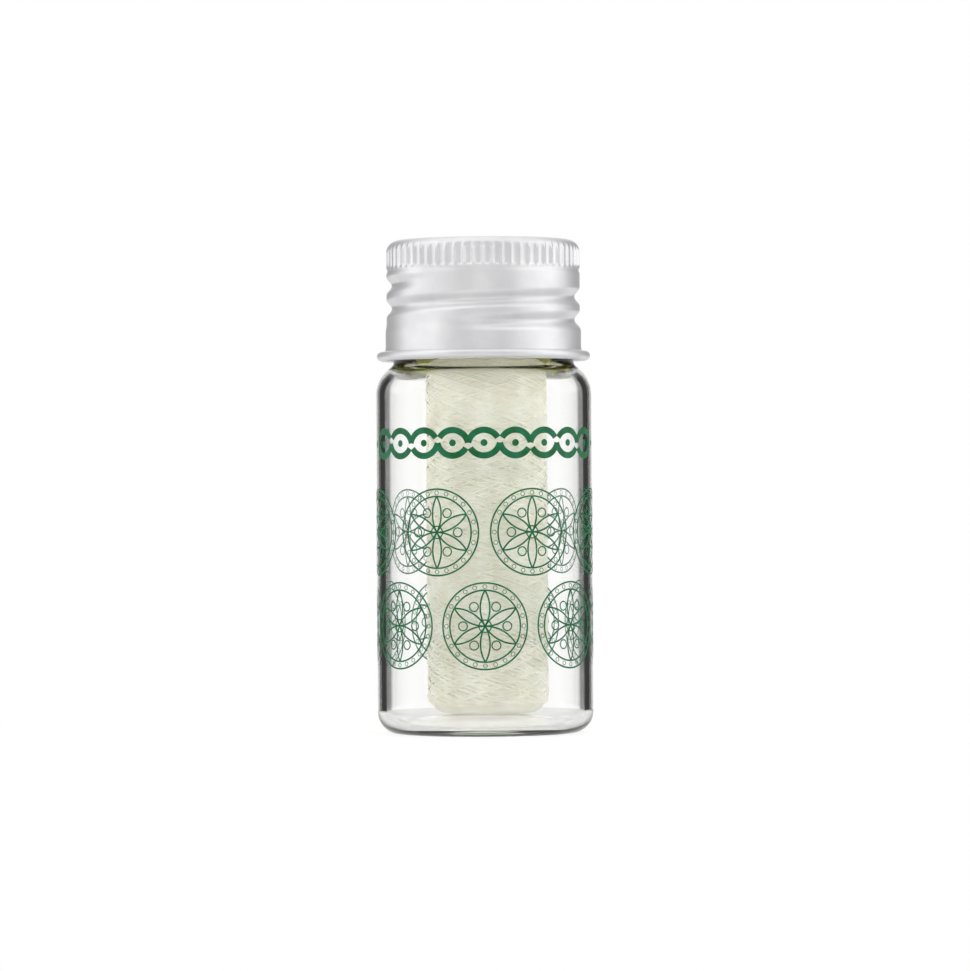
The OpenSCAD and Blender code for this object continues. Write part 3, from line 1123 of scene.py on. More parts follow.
    def build(self) -> None:
        """Prints both rows of rosettes and the braid."""
        pitch = math.tau * self.radius / self.around
        middle = (self.around - 1) / 2
        first = self.rosette()
        rows = []
        for i in range(self.around):
            for shift, z in ((0, self.lower_z), (0.5, self.upper_z)):
                rows.append(copy_of(first, Vector(((i - middle + shift) * pitch, 0, z))))
        bpy.data.objects.remove(first)
        self.wrap(join("print_rosettes", *rows))
        self.wrap(self.braid())


@dataclass
class Cap:
    """The rolled aluminium cap and its foam liner."""

    sheet_t: float = 0.35 * MM
    corner_r: float = 1.7 * MM
    flutes: int = 64
    flute_steps: int = 8
    flute_depth: float = 0.27 * MM
    # Share by which the knurling wheel bites deeper or less deep round the cap
    flute_uneven: float = 0.15
    # Waves of this bite round the cap, each as its number of crests and its start
    flute_waves: tuple[Pair, ...] = ((3, 0.6), (8, 2.1))
    # Share of the way from a rib to the next valley on which a flute gets its depth
    flute_slope: float = 0.62
    flute_top: float = 0.55 * MM
    flute_start: float = 1.1 * MM
    flute_end: float = 0.35 * MM
    band_h: float = 4 * MM
    hollow_h: float = 0.5 * MM
    hollow_depth: float = 0.15 * MM
    skirt_h: float = 3.95 * MM
    skirt_step: float = 0.15 * MM
    step_h: float = 1.2 * MM
    # Form of the step, as shares of its height and of its width
    step_form: tuple[Pair, ...] = ((0.33, 0.26), (0.67, 0.74), (1, 1))
    # Over the curl the skirt widens by the first of each pair, the second below its straight part
    flare_form: tuple[Pair, ...] = ((0.05 * MM, 0.5 * MM), (0.15 * MM, 0.95 * MM))
    curl_h: float = 1.32 * MM
    curl_flare: float = 0.26 * MM
    curl_end: float = 112
    groove_depth: float = 0.75 * MM
    groove_half: float = 1.25 * MM
    # A power under one makes the groove fuller
    groove_power: float = 0.85
    # Places of the rings in the flat top, and where the rolls begin, as shares of the wall's radius
    top_rings: Pair = (0.3, 0.6)
    rolled_from: float = 0.5
    ring_step: float = 0.25 * MM
    lacquer_margin: float = 0.4 * MM
    liner_t: float = 1.15 * MM
    liner_gap: float = 0.5 * MM
    # Share of the liner's thickness up to which it is pressed out to its full width
    liner_edge: float = 0.35
    liner_round: float = 0.2 * MM
    liner_top_round: float = 0.15 * MM
    thread: Helix = field(
        default_factory=lambda: Helix(PITCH, datum_z=57.4056 * MM, start=-118, turns=2.01)
    )

    def __post_init__(self) -> None:
        """Takes the cap's height and reach from the frame."""
        low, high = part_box("cap_shell")
        self.top_z, self.bottom_z = high.z, low.z
        curl_reach = (high.x - low.x) / 2
        self.skirt_r = curl_reach - self.curl_h - self.curl_flare + self.sheet_t
        self.wall_r = self.skirt_r - self.skirt_step

    def outline(self) -> list[Point]:
        """Works out the outline of the sheet's outer side.

        Returns:
            Points from the middle of the top to the end of the curl.
        """
        corner_c = (self.wall_r - self.corner_r, self.top_z - self.corner_r)
        corner = arc(corner_c, self.corner_r, 90, 0, steps=10)
        hollow_z = self.top_z - self.band_h - self.hollow_h / 2
        wall = straight(
            (self.wall_r, self.top_z - self.corner_r - self.ring_step),
            (self.wall_r, self.bottom_z + self.skirt_h + self.step_h),
            self.ring_step,
        )
        wall = [(r - self.hollow_depth * self.dip(z, hollow_z), z) for r, z in wall]
        step = [
            (self.wall_r + self.skirt_step * w, self.bottom_z + self.skirt_h + self.step_h * (1 - h))
            for h, w in self.step_form
        ]
        curl_r = self.curl_h / 2
        curl_c = (self.skirt_r - self.sheet_t + self.curl_flare + curl_r, self.bottom_z + curl_r)
        flare_z = self.bottom_z + self.curl_h + 2 * self.sheet_t
        return [
            (0, self.top_z),
            *[(self.wall_r * share, self.top_z) for share in self.top_rings],
            (corner[0][0] - self.ring_step, self.top_z),
            *corner,
            *wall,
            *step,
            (self.skirt_r, step[-1][1] - self.ring_step),
            (self.skirt_r, flare_z),
            *[(self.skirt_r + wider, flare_z - down) for wider, down in self.flare_form],
            *arc(curl_c, curl_r - self.sheet_t, 180, 360 + self.curl_end, steps=15),
        ]

    def dip(self, z: float, middle: float) -> float:
        """Depth share of the roll mark under the knurled band."""
        away = abs(z - middle) / self.hollow_h
        return math.cos(math.pi * away / 2) ** 2 if away < 1 else 0

    def roll(self, places: np.ndarray) -> np.ndarray:
        """Presses the thread and the flutes into the spun sheet.

        Args:
            places: Rows of X, Y and Z.

        Returns:
            The pressed places.
        """
        z = places[:, 2]
        rolled = np.hypot(places[:, 0], places[:, 1]) > self.wall_r * self.rolled_from

        def groove(away: np.ndarray) -> np.ndarray:
            """Rounds the groove's section."""
            share = np.clip(away / self.groove_half, 0, 1)
            return (0.5 + 0.5 * np.cos(math.pi * share)) ** self.groove_power

        pressed = self.thread.height(places, groove) * self.groove_depth
        pressed *= ease((self.top_z - self.band_h - self.hollow_h - z) / self.ring_step + 1)
        turn = np.arctan2(places[:, 1], places[:, 0]) / math.tau * self.flutes
        from_rib = np.abs(turn - np.round(turn)) * 2
        valley = ease(from_rib / self.flute_slope)
        above = ease((self.top_z - self.flute_top - z) / self.flute_start)
        below = ease((z - (self.top_z - self.band_h)) / self.flute_end)
        round_cap = turn / self.flutes * math.tau
        waves = sum(np.sin(crests * round_cap + start) for crests, start in self.flute_waves)
        fluted = self.flute_depth * (1 + self.flute_uneven * waves) * valley * above * below
        return pushed_out(places, -np.where(rolled, pressed + fluted, 0))

    def build_shell(self) -> bpy.types.Object:
        """Spins, rolls and thickens the sheet.

        Returns:
            The cap.
        """
        shell = lathe("screw_cap", self.outline(), self.flutes * self.flute_steps)
        reshape(shell, self.roll)
        shell.data.materials.append(RolledAluminium().material())
        shell.data.materials.append(GoldLacquer().material())
        modify(
            shell, "SOLIDIFY", thickness=self.sheet_t, offset=-1, use_quality_normals=True,
            material_offset=1,
        )
        for face in shell.data.polygons:
            if face.center.z < self.bottom_z + self.curl_h + self.lacquer_margin:
                face.material_index = 0
        smooth_shading(shell, degrees=50)
        dress(shell, None, Body.CAP, Slot.ALUMINIUM, "cap_shell")
        return shell

    def build_liner(self) -> bpy.types.Object:
        """Spins the foam disc that the cap presses on the insert.

        Returns:
            The liner.
        """
        low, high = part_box("cap_liner")
        radius = (high.x - low.x) / 2
        corners = [
            (0, low.z, 0),
            (radius, low.z, self.liner_round),
            (radius, low.z + self.liner_t * self.liner_edge, self.liner_round),
            (radius - self.liner_gap, high.z, self.liner_top_round),
            (0, high.z, 0),
        ]
        liner = lathe("sealing_liner", rounded(corners), steps=96)
        smooth_shading(liner)
        dress(liner, FoamSheet(), Body.LINER, Slot.FOAM, "cap_liner")
        return liner


@dataclass
class Insert:
    """The moulded plug in the neck and the steel cutter on its two pegs."""

    hole_r: float = 0.8 * MM
    rim_r: float = 2 * MM
    rim_h: float = 0.5 * MM
    rim_slope: float = 0.15 * MM
    # Roundings, from the finest to the widest
    head_round: float = 0.08 * MM
    rib_round: float = 0.1 * MM
    flange_round: float = 0.12 * MM
    edge_round: float = 0.15 * MM
    rim_round: float = 0.2 * MM
    mouth_round: float = 0.25 * MM
    corner_round: float = 0.3 * MM
    wall: float = 0.9 * MM
    floor_t: float = 0.9 * MM
    recess_h: float = 4.5 * MM
    flange_t: float = 0.8 * MM
    plug_gap: float = 0.3 * MM
    # The plug's end is narrower by the first of these over the height of the second
    lead_in: Pair = (0.45 * MM, 0.5 * MM)
    rib_h: float = 0.25 * MM
    rib_half: float = 0.3 * MM
    rib_shares: tuple[float, ...] = (0.3, 0.5, 0.7)
    peg_r: float = 0.5 * MM
    peg_head_r: float = 0.8 * MM
    peg_head_h: float = 0.35 * MM
    # Edge of the dome on a peg's head, as shares of the head's radius and height
    peg_dome: Pair = (0.82, 0.8)
    peg_root: float = 0.1 * MM
    peg_lift: float = 0.02 * MM
    peg_play: float = 0.05 * MM
    peg_spacing: float = 3.6 * MM
    blade_t: float = 0.3 * MM
    blade_w: float = 6 * MM
    blade_bend: float = 0.35 * MM
    blade_chamfer: float = 0.8 * MM
    notch_w: float = 2.4 * MM
    notch_h: float = 1.2 * MM
    slot_w: float = 0.7 * MM
    slot_h: float = 1.5 * MM
    edge: float = 0.03 * MM
    # Edges that turn by more than this angle are broken, in radians
    edge_angle: float = 0.6
    steps: int = 128

    def __post_init__(self) -> None:
        """Takes the places of the insert and the cutter from the frame."""
        low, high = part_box("dispenser_insert")
        self.flange_r = (high.x - low.x) / 2
        self.top_z = high.z
        self.bottom_z = low.z
        self.lip_z = self.top_z - self.flange_t
        self.recess_z = self.lip_z - self.recess_h
        self.blade_low, self.blade_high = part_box("floss_cutter")

    def section(self, bore_r: float) -> list[Point]:
        """Works out the plug's closed outline.

        Args:
            bore_r: Radius of the vial's neck bore.

        Returns:
            Points that end where they start.
        """
        plug_r = bore_r - self.plug_gap
        recess_r = plug_r - self.wall
        floor_z = self.recess_z - self.floor_t
        plug_h = self.lip_z - self.bottom_z
        ribs = []
        for share in self.rib_shares:
            z = self.lip_z - plug_h * share
            ribs += [
                (plug_r, z + self.rib_half, self.rib_round),
                (plug_r + self.rib_h, z, self.flange_round),
                (plug_r, z - self.rib_half, self.rib_round),
            ]
        rim_top = self.recess_z + self.rim_h
        return rounded(
            [
                (self.hole_r, floor_z + self.floor_t / 2, 0),
                (self.hole_r, rim_top, self.rim_round),
                (self.rim_r - self.rim_slope, rim_top, self.rim_round),
                (self.rim_r, self.recess_z, self.edge_round),
                (recess_r, self.recess_z, self.corner_round),
                (recess_r, self.top_z, self.mouth_round),
                (self.flange_r, self.top_z, self.rim_round),
                (self.flange_r, self.lip_z, self.flange_round),
                (plug_r, self.lip_z, self.flange_round),
                *ribs,
                (plug_r, self.bottom_z + self.lead_in[1], self.mouth_round),
                (plug_r - self.lead_in[0], self.bottom_z, self.edge_round),
                (recess_r, self.bottom_z, self.edge_round),
                (recess_r, floor_z, self.corner_round),
                (self.hole_r, floor_z, self.edge_round),
                (self.hole_r, floor_z + self.floor_t / 2, 0),
            ]
        )

    def build_insert(self, bore_r: float) -> bpy.types.Object:
        """Spins the plug and its two staked pegs.

        Args:
            bore_r: Radius of the vial's neck bore.

        Returns:
            The insert.
        """
        plug = lathe("neck_insert", self.section(bore_r), self.steps)
        seat_z = self.recess_z + self.blade_t
        dome_r, dome_h = self.peg_head_r * self.peg_dome[0], self.peg_head_h * self.peg_dome[1]
        corners = [
            (0, self.recess_z - self.peg_root, 0),
            (self.peg_r, self.recess_z - self.peg_root, 0),
            (self.peg_r, seat_z + self.peg_lift, 0),
            (self.peg_head_r, seat_z + self.peg_lift, self.head_round),
            (dome_r, seat_z + dome_h, self.rim_round),
            (0, seat_z + self.peg_head_h, 0),
        ]
        peg = lathe("peg", rounded(corners), steps=32)
        peg_y = (self.blade_low.y + self.blade_t + self.blade_high.y) / 2
        pegs = [copy_of(peg, Vector((s * self.peg_spacing / 2, peg_y, 0))) for s in (-1, 1)]
        bpy.data.objects.remove(peg)
        plug = join("neck_insert", plug, *pegs)
        smooth_shading(plug)
        dress(plug, MouldedPlastic(), Body.VIAL, Slot.PLASTIC, "dispenser_insert")
        return plug

    def build_cutter(self) -> bpy.types.Object:
        """Bends the strip, cuts its notch, corners and peg holes and breaks its edges.

        Returns:
            The cutter.
        """
        near, far = self.blade_low.y, self.blade_high.y
        low, high = self.blade_low.z, self.blade_high.z
        half = self.blade_w / 2
        corners = [
            (near, high, 0),
            (near, low, self.blade_bend + self.blade_t),
            (far, low, 0),
            (far, low + self.blade_t, 0),
            (near + self.blade_t, low + self.blade_t, self.blade_bend),
            (near + self.blade_t, high, 0),
        ]
        side = [Vector((-half, y, z)) for y, z in rounded(corners, steps=6)]
        blade = prism("floss_blade", side, Vector((self.blade_w, 0, 0)))
        # Each tool reaches well through the strip on both sides
        through = Vector((0, 4 * self.blade_t, 0))
        over = high + self.blade_t
        widen = self.notch_w / 2 * over / high
        notch = [
            (-widen, over),
            (-self.notch_w / 2, high),
            (-self.slot_w / 2, high - self.notch_h),
            *arc((0, high - self.slot_h + self.slot_w / 2), self.slot_w / 2, 180, 360, steps=8),
            (self.slot_w / 2, high - self.notch_h),
            (self.notch_w / 2, high),
            (widen, over),
        ]
        start_y = near - 1.5 * self.blade_t
        tools = [prism("notch", [Vector((x, start_y, z)) for x, z in notch], through)]
        for s in (-1, 1):
            corner = [
                (s * (half - self.blade_chamfer), over),
                (s * (half - self.blade_chamfer), high),
                (s * half, high - self.blade_chamfer),
                (s * (half + self.blade_t), high - self.blade_chamfer),
                (s * (half + self.blade_t), over),
            ]
            tools.append(prism("corner", [Vector((x, start_y, z)) for x, z in corner], through))
            peg_y = (near + self.blade_t + far) / 2
            rim = circle((s * self.peg_spacing / 2, peg_y), self.peg_r + self.peg_play)
            hole = [Vector((x, y, low - self.blade_t)) for x, y in rim]
            tools.append(prism("hole", hole, Vector((0, 0, 3 * self.blade_t))))
        cut(blade, *tools)
        modify(
            blade, "BEVEL", width=self.edge, segments=2, limit_method="ANGLE",
            angle_limit=self.edge_angle,
        )
        smooth_shading(blade, degrees=35)
        dress(blade, StampedSteel(), Body.VIAL, Slot.STEEL, "floss_cutter")
        return blade


@dataclass
class Strand:
    """A floss strand swept along a route, with a UV map that runs along it in metres."""

    UV_NAME: ClassVar[str] = "along_strand"
    # The filaments' pattern is this much longer along the strand than round it
    UV_STRETCH: ClassVar[float] = 12

    name: str
    route: np.ndarray
    outward: np.ndarray
    half_width: float
    half_height: float
    sides: int
    lobes: int = 0
    lobe_share: float = 0.0
    twist: float = 0.0

    def build(self) -> bpy.types.Object:
        """Sweeps the strand.

        Returns:
            Its object.
        """
        ahead = np.gradient(self.route, axis=0)
        ahead /= np.linalg.norm(ahead, axis=1)[:, None]
        up = self.outward - (self.outward * ahead).sum(1)[:, None] * ahead
        up /= np.linalg.norm(up, axis=1)[:, None]
        across = np.cross(ahead, up)
        run = np.concatenate([[0], np.cumsum(np.linalg.norm(np.diff(self.route, axis=0), axis=1))])
        turn = np.arange(self.sides) / self.sides * math.tau
        lobes = np.cos(self.lobes * (turn[None, :] - self.twist * run[:, None]))
        swell = (1 + self.lobe_share * (lobes - 1) / 2)[:, :, None]
        rings = (
            self.route[:, None]
            + swell * self.half_width * np.cos(turn)[None, :, None] * across[:, None]
            + swell * self.half_height * np.sin(turn)[None, :, None] * up[:, None]
        )
        count, sides = len(self.route), self.sides
        first = np.arange(count - 1)[:, None] * sides + np.arange(sides)[None, :]
        second = np.arange(count - 1)[:, None] * sides + (np.arange(sides)[None, :] + 1) % sides
        quads = np.stack([first, first + sides, second + sides, second], axis=2).reshape(-1, 4)
        ends = [list(range(sides)), list(range(count * sides - 1, (count - 1) * sides - 1, -1))]
        mesh = bpy.data.meshes.new(self.name)
        mesh.from_pydata(rings.reshape(-1, 3).tolist(), [], quads.tolist() + ends)
        self.map(mesh, run)
        made = bpy.data.objects.new(self.name, mesh)
        bpy.context.scene.collection.objects.link(made)
        smooth_shading(made, degrees=70)
        return made

    def map(self, mesh: bpy.types.Mesh, run: np.ndarray) -> None:
        """Lays the UV map: U is the shortened way along the strand, V the way round it.

        Args:
            mesh: Mesh of the strand.
            run: Distance of each of the route's points from the first, along the route.
        """
        layer = mesh.uv_layers.new(name=self.UV_NAME)
        corners = np.empty(len(mesh.loops), np.int32)
        mesh.loops.foreach_get("vertex_index", corners)
        along = run[corners // self.sides] / self.UV_STRETCH
        round_it = (corners % self.sides) / self.sides * math.tau * self.half_width
        layer.data.foreach_set("uv", np.column_stack([along, round_it]).ravel())


@dataclass
class Package:
    """The cross-wound floss package and its running end."""

    corner_r: float = 2.6 * MM
    bore_r: float = 1.5 * MM
    diamonds: int = 13
    laps: int = 4
    skip: int = 3
    base_turns: int = 5
    lay_share: float = 0.88
    half_width: float = 0.165 * MM
    half_height: float = 0.1 * MM
    lap_rise: float = 0.06 * MM
    over_rise: float = 0.035 * MM
    turn_back: float = 34
    rings: int = 36
    sides: int = 6
    under: float = 0.4 * MM
    ripple: float = 0.36 * MM
    ripple_depth: float = 0.05 * MM
    ripple_steps: int = 4
    # Each trip turns back at a distance from the end drawn from this range
    end_gap: Pair = (0.25 * MM, 0.9 * MM)
    seed: int = 7
    end_half: float = 0.29 * MM
    end_bend: float = 1.2 * MM
    tail_r: float = 1.4 * MM
    tail_angle: float = 15
    # Height of the running end's middle over the bottom of the cutter's slot
    end_seat: float = 0.35 * MM
    end_steps: int = 40
    end_step: float = 0.3 * MM

    def __post_init__(self) -> None:
        """Takes the package's place and size from the frame."""
        low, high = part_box("floss_core")
        wound_low, wound_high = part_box("floss_winding")
        self.low_z, self.high_z = low.z, high.z
        self.centre_x = (low.x + high.x) / 2
        self.radius = (wound_high.x - wound_low.x) / 2

    def corner_pull(self, depth: np.ndarray) -> np.ndarray:
        """Works out how far the round corner stands in, by the distance from an end."""
        short = np.clip(self.corner_r - depth, 0, self.corner_r)
        return self.corner_r - np.sqrt(self.corner_r**2 - short**2)

    def build_core(self) -> bpy.types.Object:
        """Spins the wound mass, whose end faces show the turned-back layers.

        Returns:
            The wound mass.
        """
        radius = self.radius - self.under
        corner_r = self.corner_r - self.under / 2
        flat = radius - corner_r - self.bore_r
        count = round(flat / self.ripple) * self.ripple_steps

        def face(z: float, sign: int) -> list[Point]:
            """Works out a rippled end face.

            Args:
                z: Its height.
                sign: 1 where it ripples upwards, -1 where it ripples downwards.

            Returns:
                Its points from the bore outwards.
            """
            swells = [0.5 + 0.5 * math.cos(math.tau * i / self.ripple_steps) for i in range(count + 1)]
            return [
                (self.bore_r + flat * i / count, z + sign * self.ripple_depth * swell)
                for i, swell in enumerate(swells)
            ]

        low, high = self.low_z, self.high_z
        low_c = (radius - corner_r, low + corner_r)
        high_c = (radius - corner_r, high - corner_r)
        outline = [
            *face(low, 1),
            *arc(low_c, corner_r, -90, 0, steps=8),
            *arc(high_c, corner_r, 0, 90, steps=8),
            *reversed(face(high, -1)),
            face(low, 1)[0],
        ]
        core = lathe("floss_package_core", outline, steps=96)
        reshape(core, lambda places: places + np.array([self.centre_x, 0, 0]))
        layer = core.data.uv_layers.new(name=Strand.UV_NAME)
        corners = np.empty(len(core.data.loops), np.int32)
        core.data.loops.foreach_get("vertex_index", corners)
        places = np.array([vertex.co for vertex in core.data.vertices])[corners]
        turn = np.arctan2(places[:, 1], places[:, 0] - self.centre_x)
        along = turn * self.radius / Strand.UV_STRETCH
        layer.data.foreach_set("uv", np.column_stack([along, places[:, 2]]).ravel())
        smooth_shading(core, degrees=60)
        dress(core, WaxedFloss(), Body.PACKAGE, Slot.FLOSS, "floss_core", "floss_winding")
        return core

    def build_winding(self) -> bpy.types.Object:
        """Winds the outer layers: trips up and down, lap by lap, in one unbroken strand.

        Returns:
            The strand.
        """
        trips = self.diamonds * self.laps
        lay = self.lay_share / self.diamonds / self.laps
        trip_turns = self.base_turns + (self.skip + lay) / self.diamonds
        half_trip = 360 * trip_turns / 2
        rng = np.random.default_rng(self.seed)
        count = round(trips * trip_turns * self.rings)
        turned = np.arange(count) / self.rings * 360
        trip = turned / (2 * half_trip)
        phase = (trip - np.floor(trip)) * 2 * half_trip
        ends = rng.uniform(*self.end_gap, 2 * trips + 3)
        to_low = np.minimum(phase, 2 * half_trip - phase)
        to_high = np.abs(phase - half_trip)
        bend = self.turn_back

        def softened(away: np.ndarray) -> np.ndarray:
            """Bends the strand over the angle in which it turns back."""
            return np.where(away < bend, bend / 2 + away**2 / (2 * bend), away)

        low_end = ends[np.floor(trip + 0.5).astype(int)]
        high_end = ends[trips + 1 + np.floor(trip).astype(int)]
        slope = (self.high_z - self.low_z - low_end - high_end) / half_trip
        height = np.where(
            to_low < to_high,
            self.low_z + low_end + slope * softened(to_low),
            self.high_z - high_end - slope * softened(to_high),
        )
        lap = np.floor(trip / self.diamonds)
        under = (self.laps - 1 - lap) * self.lap_rise + np.where(phase < half_trip, self.over_rise, 0)
        edge = np.minimum(height - self.low_z, self.high_z - height)
        reach = self.radius - self.half_height - under - self.corner_pull(edge)
        angle = np.radians(turned)
        out = np.column_stack([np.cos(angle), np.sin(angle), np.zeros(count)])
        route = out * reach[:, None] + np.array([self.centre_x, 0, 0])
        route[:, 2] = height
        winding = Strand(
            "floss_package_strand", route, out, self.half_width, self.half_height, self.sides
        ).build()
        dress(winding, WaxedFloss(), Body.PACKAGE, Slot.FLOSS)
        return winding

    def build_running_end(self, insert: Insert) -> bpy.types.Object:
        """Leads the strand out of the package, through the insert and into the cutter.

        Args:
            insert: Insert and cutter that it passes.

        Returns:
            The running end.
        """
        start_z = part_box("floss_lead")[0].z
        top_z = insert.blade_high.z - insert.slot_h + self.end_seat
        blade_y = insert.blade_low.y + insert.blade_t
        points = []
        for i in range(self.end_steps + 1):
            share = i / self.end_steps
            x = self.centre_x * (1 - float(ease(np.array(share))))
            points.append((x, 0, start_z + (insert.recess_z - start_z) * share))
        bend = self.end_bend
        across = [
            *arc((bend, top_z - bend), bend, 180, 90, steps=14),
            *straight((bend, top_z), (blade_y, top_z), self.end_step)[1:-1],
            *arc((blade_y, top_z - self.tail_r), self.tail_r, 90, self.tail_angle, steps=12),
        ]
        route = np.array(points + [(0, y, z) for y, z in across])
        outward = np.tile([1.0, 0, 0], (len(route), 1))
        end = Strand(
            "floss_running_end", route, outward, self.end_half, self.end_half, sides=18,
            lobes=5, lobe_share=0.16, twist=2600,
        ).build()
        dress(end, WaxedFloss(), Body.VIAL, Slot.FLOSS, "floss_lead")
        return end


# Studio


@dataclass
class Studio:
    """The floor, the light and the camera."""

    camera_distance: float = 695 * MM
    camera_z: float = 32.45 * MM
    aim_z: float = 34.4 * MM
    aim_x: float = 0.1 * MM
    lens: float = 185.2
    sensor: float = 36
    clip: Pair = (0.05, 20)
    roll: float = -0.36
    floor_r: float = 72 * MM
    floor_drop: float = 0.02 * MM
    floor_glow: float = 1.12
    # What the floor shows of itself through glass and in metal
    floor_mirrored: float = 0.78
    # Share of that glow in what is seen of the floor. The rest is matt paper with its shadow
    floor_share: float = 0.7
    paper: str = "#e8e8e6"
    # Light on matt surfaces, and what is added to it behind glass
    fill_light: float = 0.7
    glass_fill: float = 0.58
    # It grows by these factors towards the sides and over these bounces
    side_fill: float = 1.8
    deep_fill: float = 5
    deep_bounces: Pair = (7, 10)
    # Upright panels round the object, and the heights of their cosine wave where they end and
    # are full
    panels: int = 8
    panel_edge: Pair = (0.5, 0.72)
    panel_light: float = 1.0
    front_light: float = 0.66
    gap_light: float = 0.045
    # Sines of the direction from the side to the back, over which the front's light fades to
    # the dark of the gaps
    front_end: Pair = (0.5, 0.72)
    # Slopes, upward or downward, over which the front's light comes back all round
    slope_edge: Pair = (0.3, 0.6)
    # Upward slopes over which the roof grows to its full light
    roof_edge: Pair = (0.45, 0.8)
    roof_light: float = 1.15
    # Brushed metal reflects a wide part of the room, so it sees at least this
    gloss_light: float = 0.36
    # Glass that is looked through from above sees the floor go on behind the object, full at
    # the first of these downward slopes and gone at the second
    far_light: float = 0.86
    far_floor: Pair = (-0.11, -0.06)
    # Cosines of the angles at which the panel behind the object ends and is full
    back_edge: Pair = (0.954, 0.972)
    # The panels widen by this much towards the front and stop beside the object
    panel_lean: float = -0.26
    panel_end: Pair = (0.35, 0.6)
    side_powers: Pair = (1.05, 1.15)
    side_size: Pair = (0.8, 0.9)
    side_place: tuple[float, float, float] = (0.67, -0.1, 0.3)

    def camera(self) -> None:
        """Sets the camera level with the lower half of the vial, in front of it."""
        lens = bpy.data.cameras.new("camera")
        lens.lens, lens.sensor_width = self.lens, self.sensor
        lens.clip_start, lens.clip_end = self.clip
        camera = bpy.data.objects.new("camera", lens)
        bpy.context.scene.collection.objects.link(camera)
        camera.location = (self.aim_x, -self.camera_distance, self.camera_z)
        aim = Vector((self.aim_x, 0, self.aim_z)) - camera.location
        camera.rotation_euler = aim.to_track_quat("-Z", "Y").to_euler()
        camera.rotation_euler.rotate_axis("Z", math.radians(self.roll))
        bpy.context.scene.camera = camera

    def soft_box(self, name: str, place: Vector, size: Sequence[float], power: float) -> None:
        """Hangs a rectangular soft box that faces the object.

        Args:
            name: Name of the light.
            place: Its middle.
            size: Its width and height.
            power: Its power in watts.
        """
        light = bpy.data.lights.new(name, "AREA")
        light.shape = "RECTANGLE"
        light.size, light.size_y = size
        light.energy = power
        box = bpy.data.objects.new(name, light)
        bpy.context.scene.collection.objects.link(box)
        box.location = place
        aim = Vector((0, 0, self.aim_z)) - place
        box.rotation_euler = aim.to_track_quat("-Z", "Y").to_euler()
        box.visible_transmission = False

    def world(self) -> None:
        """Surrounds the object with upright white panels and grey gaps. The camera sees white."""
        world = bpy.data.worlds.new("light_tent")
        bpy.context.scene.world = world
        world.use_nodes = True
        tree = world.node_tree
        tree.nodes.clear()
        path = add_node(tree, "LightPath").outputs
        way = add_node(tree, "TexCoord").outputs["Generated"]
        axes = add_node(tree, "SeparateXYZ", (way,)).outputs
        turn = add_node(tree, "Math", (axes["Y"], axes["X"]), operation="ARCTAN2")
        laps = add_node(tree, "Math", (turn, self.panels), operation="MULTIPLY")
        wave = add_node(tree, "Math", (laps,), operation="COSINE")
        behind = add_node(tree, "Math", (turn,), operation="SINE")
        leant = add_node(tree, "Math", (behind, self.panel_lean, wave), operation="MULTIPLY_ADD")
        slope = add_node(tree, "Math", (axes["Z"],), operation="ABSOLUTE")
        # Rough reflections only, not those of the smooth glass
        wide = add_node(
            tree, "Math", (path["Is Glossy Ray"], path["Is Singular Ray"]), operation="SUBTRACT"
        )
        upright = add_node(tree, "MapRange", (leant, *self.panel_edge, 0, self.panel_light))
        ended = add_node(tree, "MapRange", (behind, *self.panel_end, 1, 0))
        parts = [add_node(tree, "Math", (upright, ended), operation="MULTIPLY")]
        # What a part of the light depends on, the ends of its range, and the light at each end
        for ranged in (
            (behind, *self.back_edge, 0, self.panel_light),
            (axes["Z"], *self.roof_edge, 0, self.roof_light),
            (slope, *self.slope_edge, 0, self.front_light),
            (wide, 0, 1, 0, self.gloss_light),
            (axes["Z"], *self.far_floor, self.far_light, 0),
        ):
            parts.append(add_node(tree, "MapRange", ranged))
        light = add_node(
            tree, "MapRange", (behind, *self.front_end, self.front_light, self.gap_light)
        )
        for part in parts:
            light = add_node(tree, "Math", (light, part), operation="MAXIMUM")
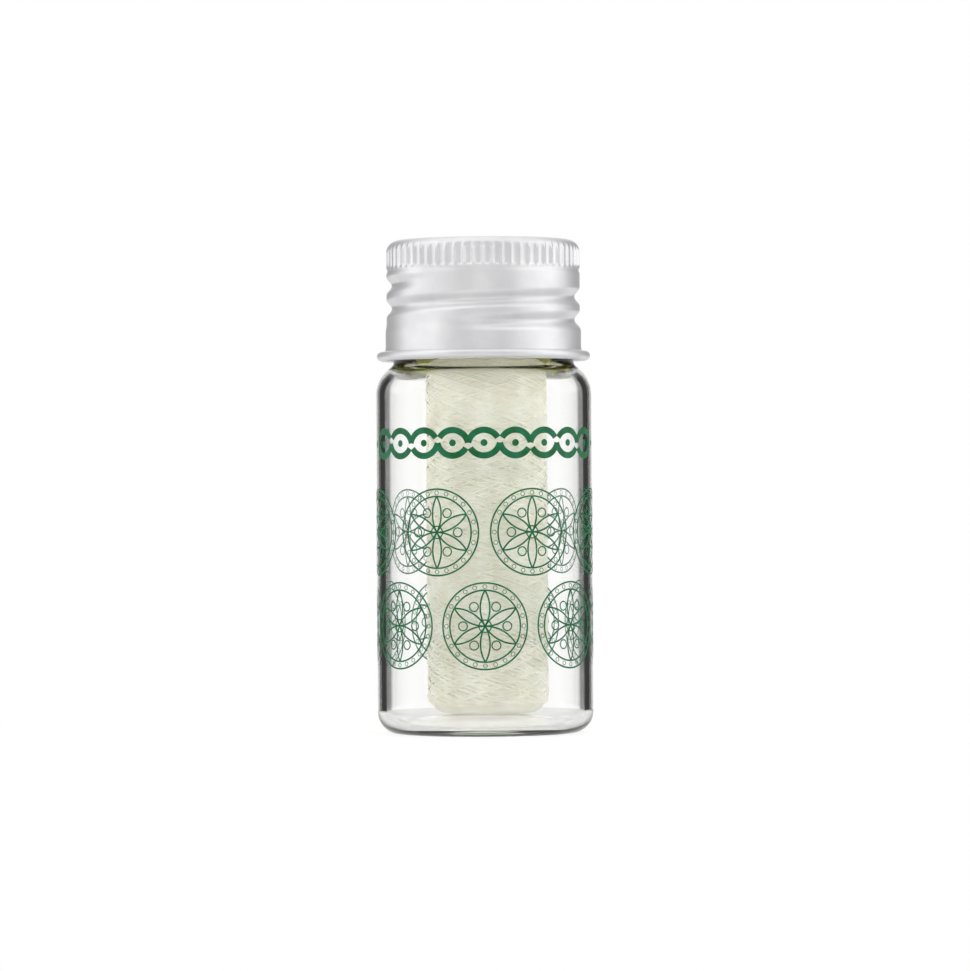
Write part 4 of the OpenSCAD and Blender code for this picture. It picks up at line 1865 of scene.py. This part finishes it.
        # Glass stops the lamps' own light, so what stands behind it gets theirs from the world
        fills = (self.fill_light, self.fill_light + self.glass_fill)
        fill = add_node(tree, "MapRange", (path["Is Transmission Ray"], 0, 1, *fills))
        sideways = add_node(tree, "Math", (axes["X"], 2), operation="POWER")
        for ranged in (
            (sideways, 0, 1, 1, self.side_fill),
            # Ways end after twelve bounces, so long ones through glass get more for what they lose
            (path["Ray Depth"], *self.deep_bounces, 1, self.deep_fill),
        ):
            factor = add_node(tree, "MapRange", ranged)
            fill = add_node(tree, "Math", (fill, factor), operation="MULTIPLY")
        scattered = add_node(tree, "Math", (path["Diffuse Depth"], 1), operation="MINIMUM")
        filled = add_node(tree, "Math", (scattered, fill), operation="MULTIPLY")
        seen = path["Is Camera Ray"]
        for part in (light, filled):
            seen = add_node(tree, "Math", (seen, part), operation="MAXIMUM")
        back = add_node(tree, "Background", {"Color": WHITE, "Strength": seen})
        add_node(tree, "OutputWorld", {"Surface": back})

    def floor(self) -> None:
        """Lays a white floor with a faint shadow, a little greyer through glass and in metal."""
        bpy.ops.mesh.primitive_circle_add(
            vertices=96, radius=self.floor_r, fill_type="NGON", location=(0, 0, -self.floor_drop)
        )
        sheet = bpy.context.object
        sheet.name = "floor"
        paper = bpy.data.materials.new("white_paper_sweep")
        paper.use_nodes = True
        tree = paper.node_tree
        tree.nodes.clear()
        matt = add_node(tree, "BsdfDiffuse", {"Color": linear(self.paper)})
        path = add_node(tree, "LightPath").outputs
        whole = add_node(
            tree, "Math", (path["Is Camera Ray"], path["Diffuse Depth"]), operation="MAXIMUM"
        )
        power = add_node(tree, "MapRange", (whole, 0, 1, self.floor_mirrored, self.floor_glow))
        glow = add_node(tree, "Emission", {"Color": WHITE, "Strength": power})
        seen = path["Is Camera Ray"]
        for kind in ("Is Glossy Ray", "Is Transmission Ray"):
            seen = add_node(tree, "Math", (seen, path[kind]), operation="MAXIMUM")
        share = add_node(tree, "Math", (seen, self.floor_share), operation="MULTIPLY")
        both = add_node(tree, "MixShader", (share, matt, glow))
        add_node(tree, "OutputMaterial", {"Surface": both})
        sheet.data.materials.append(paper)

    def build(self) -> None:
        """Sets up camera, lights, surroundings and floor."""
        bpy.context.scene.view_settings.view_transform = "Standard"
        self.camera()
        self.world()
        self.floor()
        x, y, z = self.side_place
        self.soft_box("soft_box_left", Vector((-x, y, z)), self.side_size, self.side_powers[0])
        self.soft_box("soft_box_right", Vector((x, y, z)), self.side_size, self.side_powers[1])


def main() -> None:
    """Builds the studio and every sub-assembly."""
    logging.basicConfig(level=logging.INFO, format="%(message)s")
    Studio().build()
    vial = Vial()
    vial.build()
    Print(vial.radius).build()
    cap = Cap()
    cap.build_shell()
    cap.build_liner()
    insert = Insert()
    insert.build_insert(vial.bore_r)
    insert.build_cutter()
    package = Package()
    package.build_core()
    package.build_winding()
    package.build_running_end(insert)


if __name__ == "__main__":
    main()
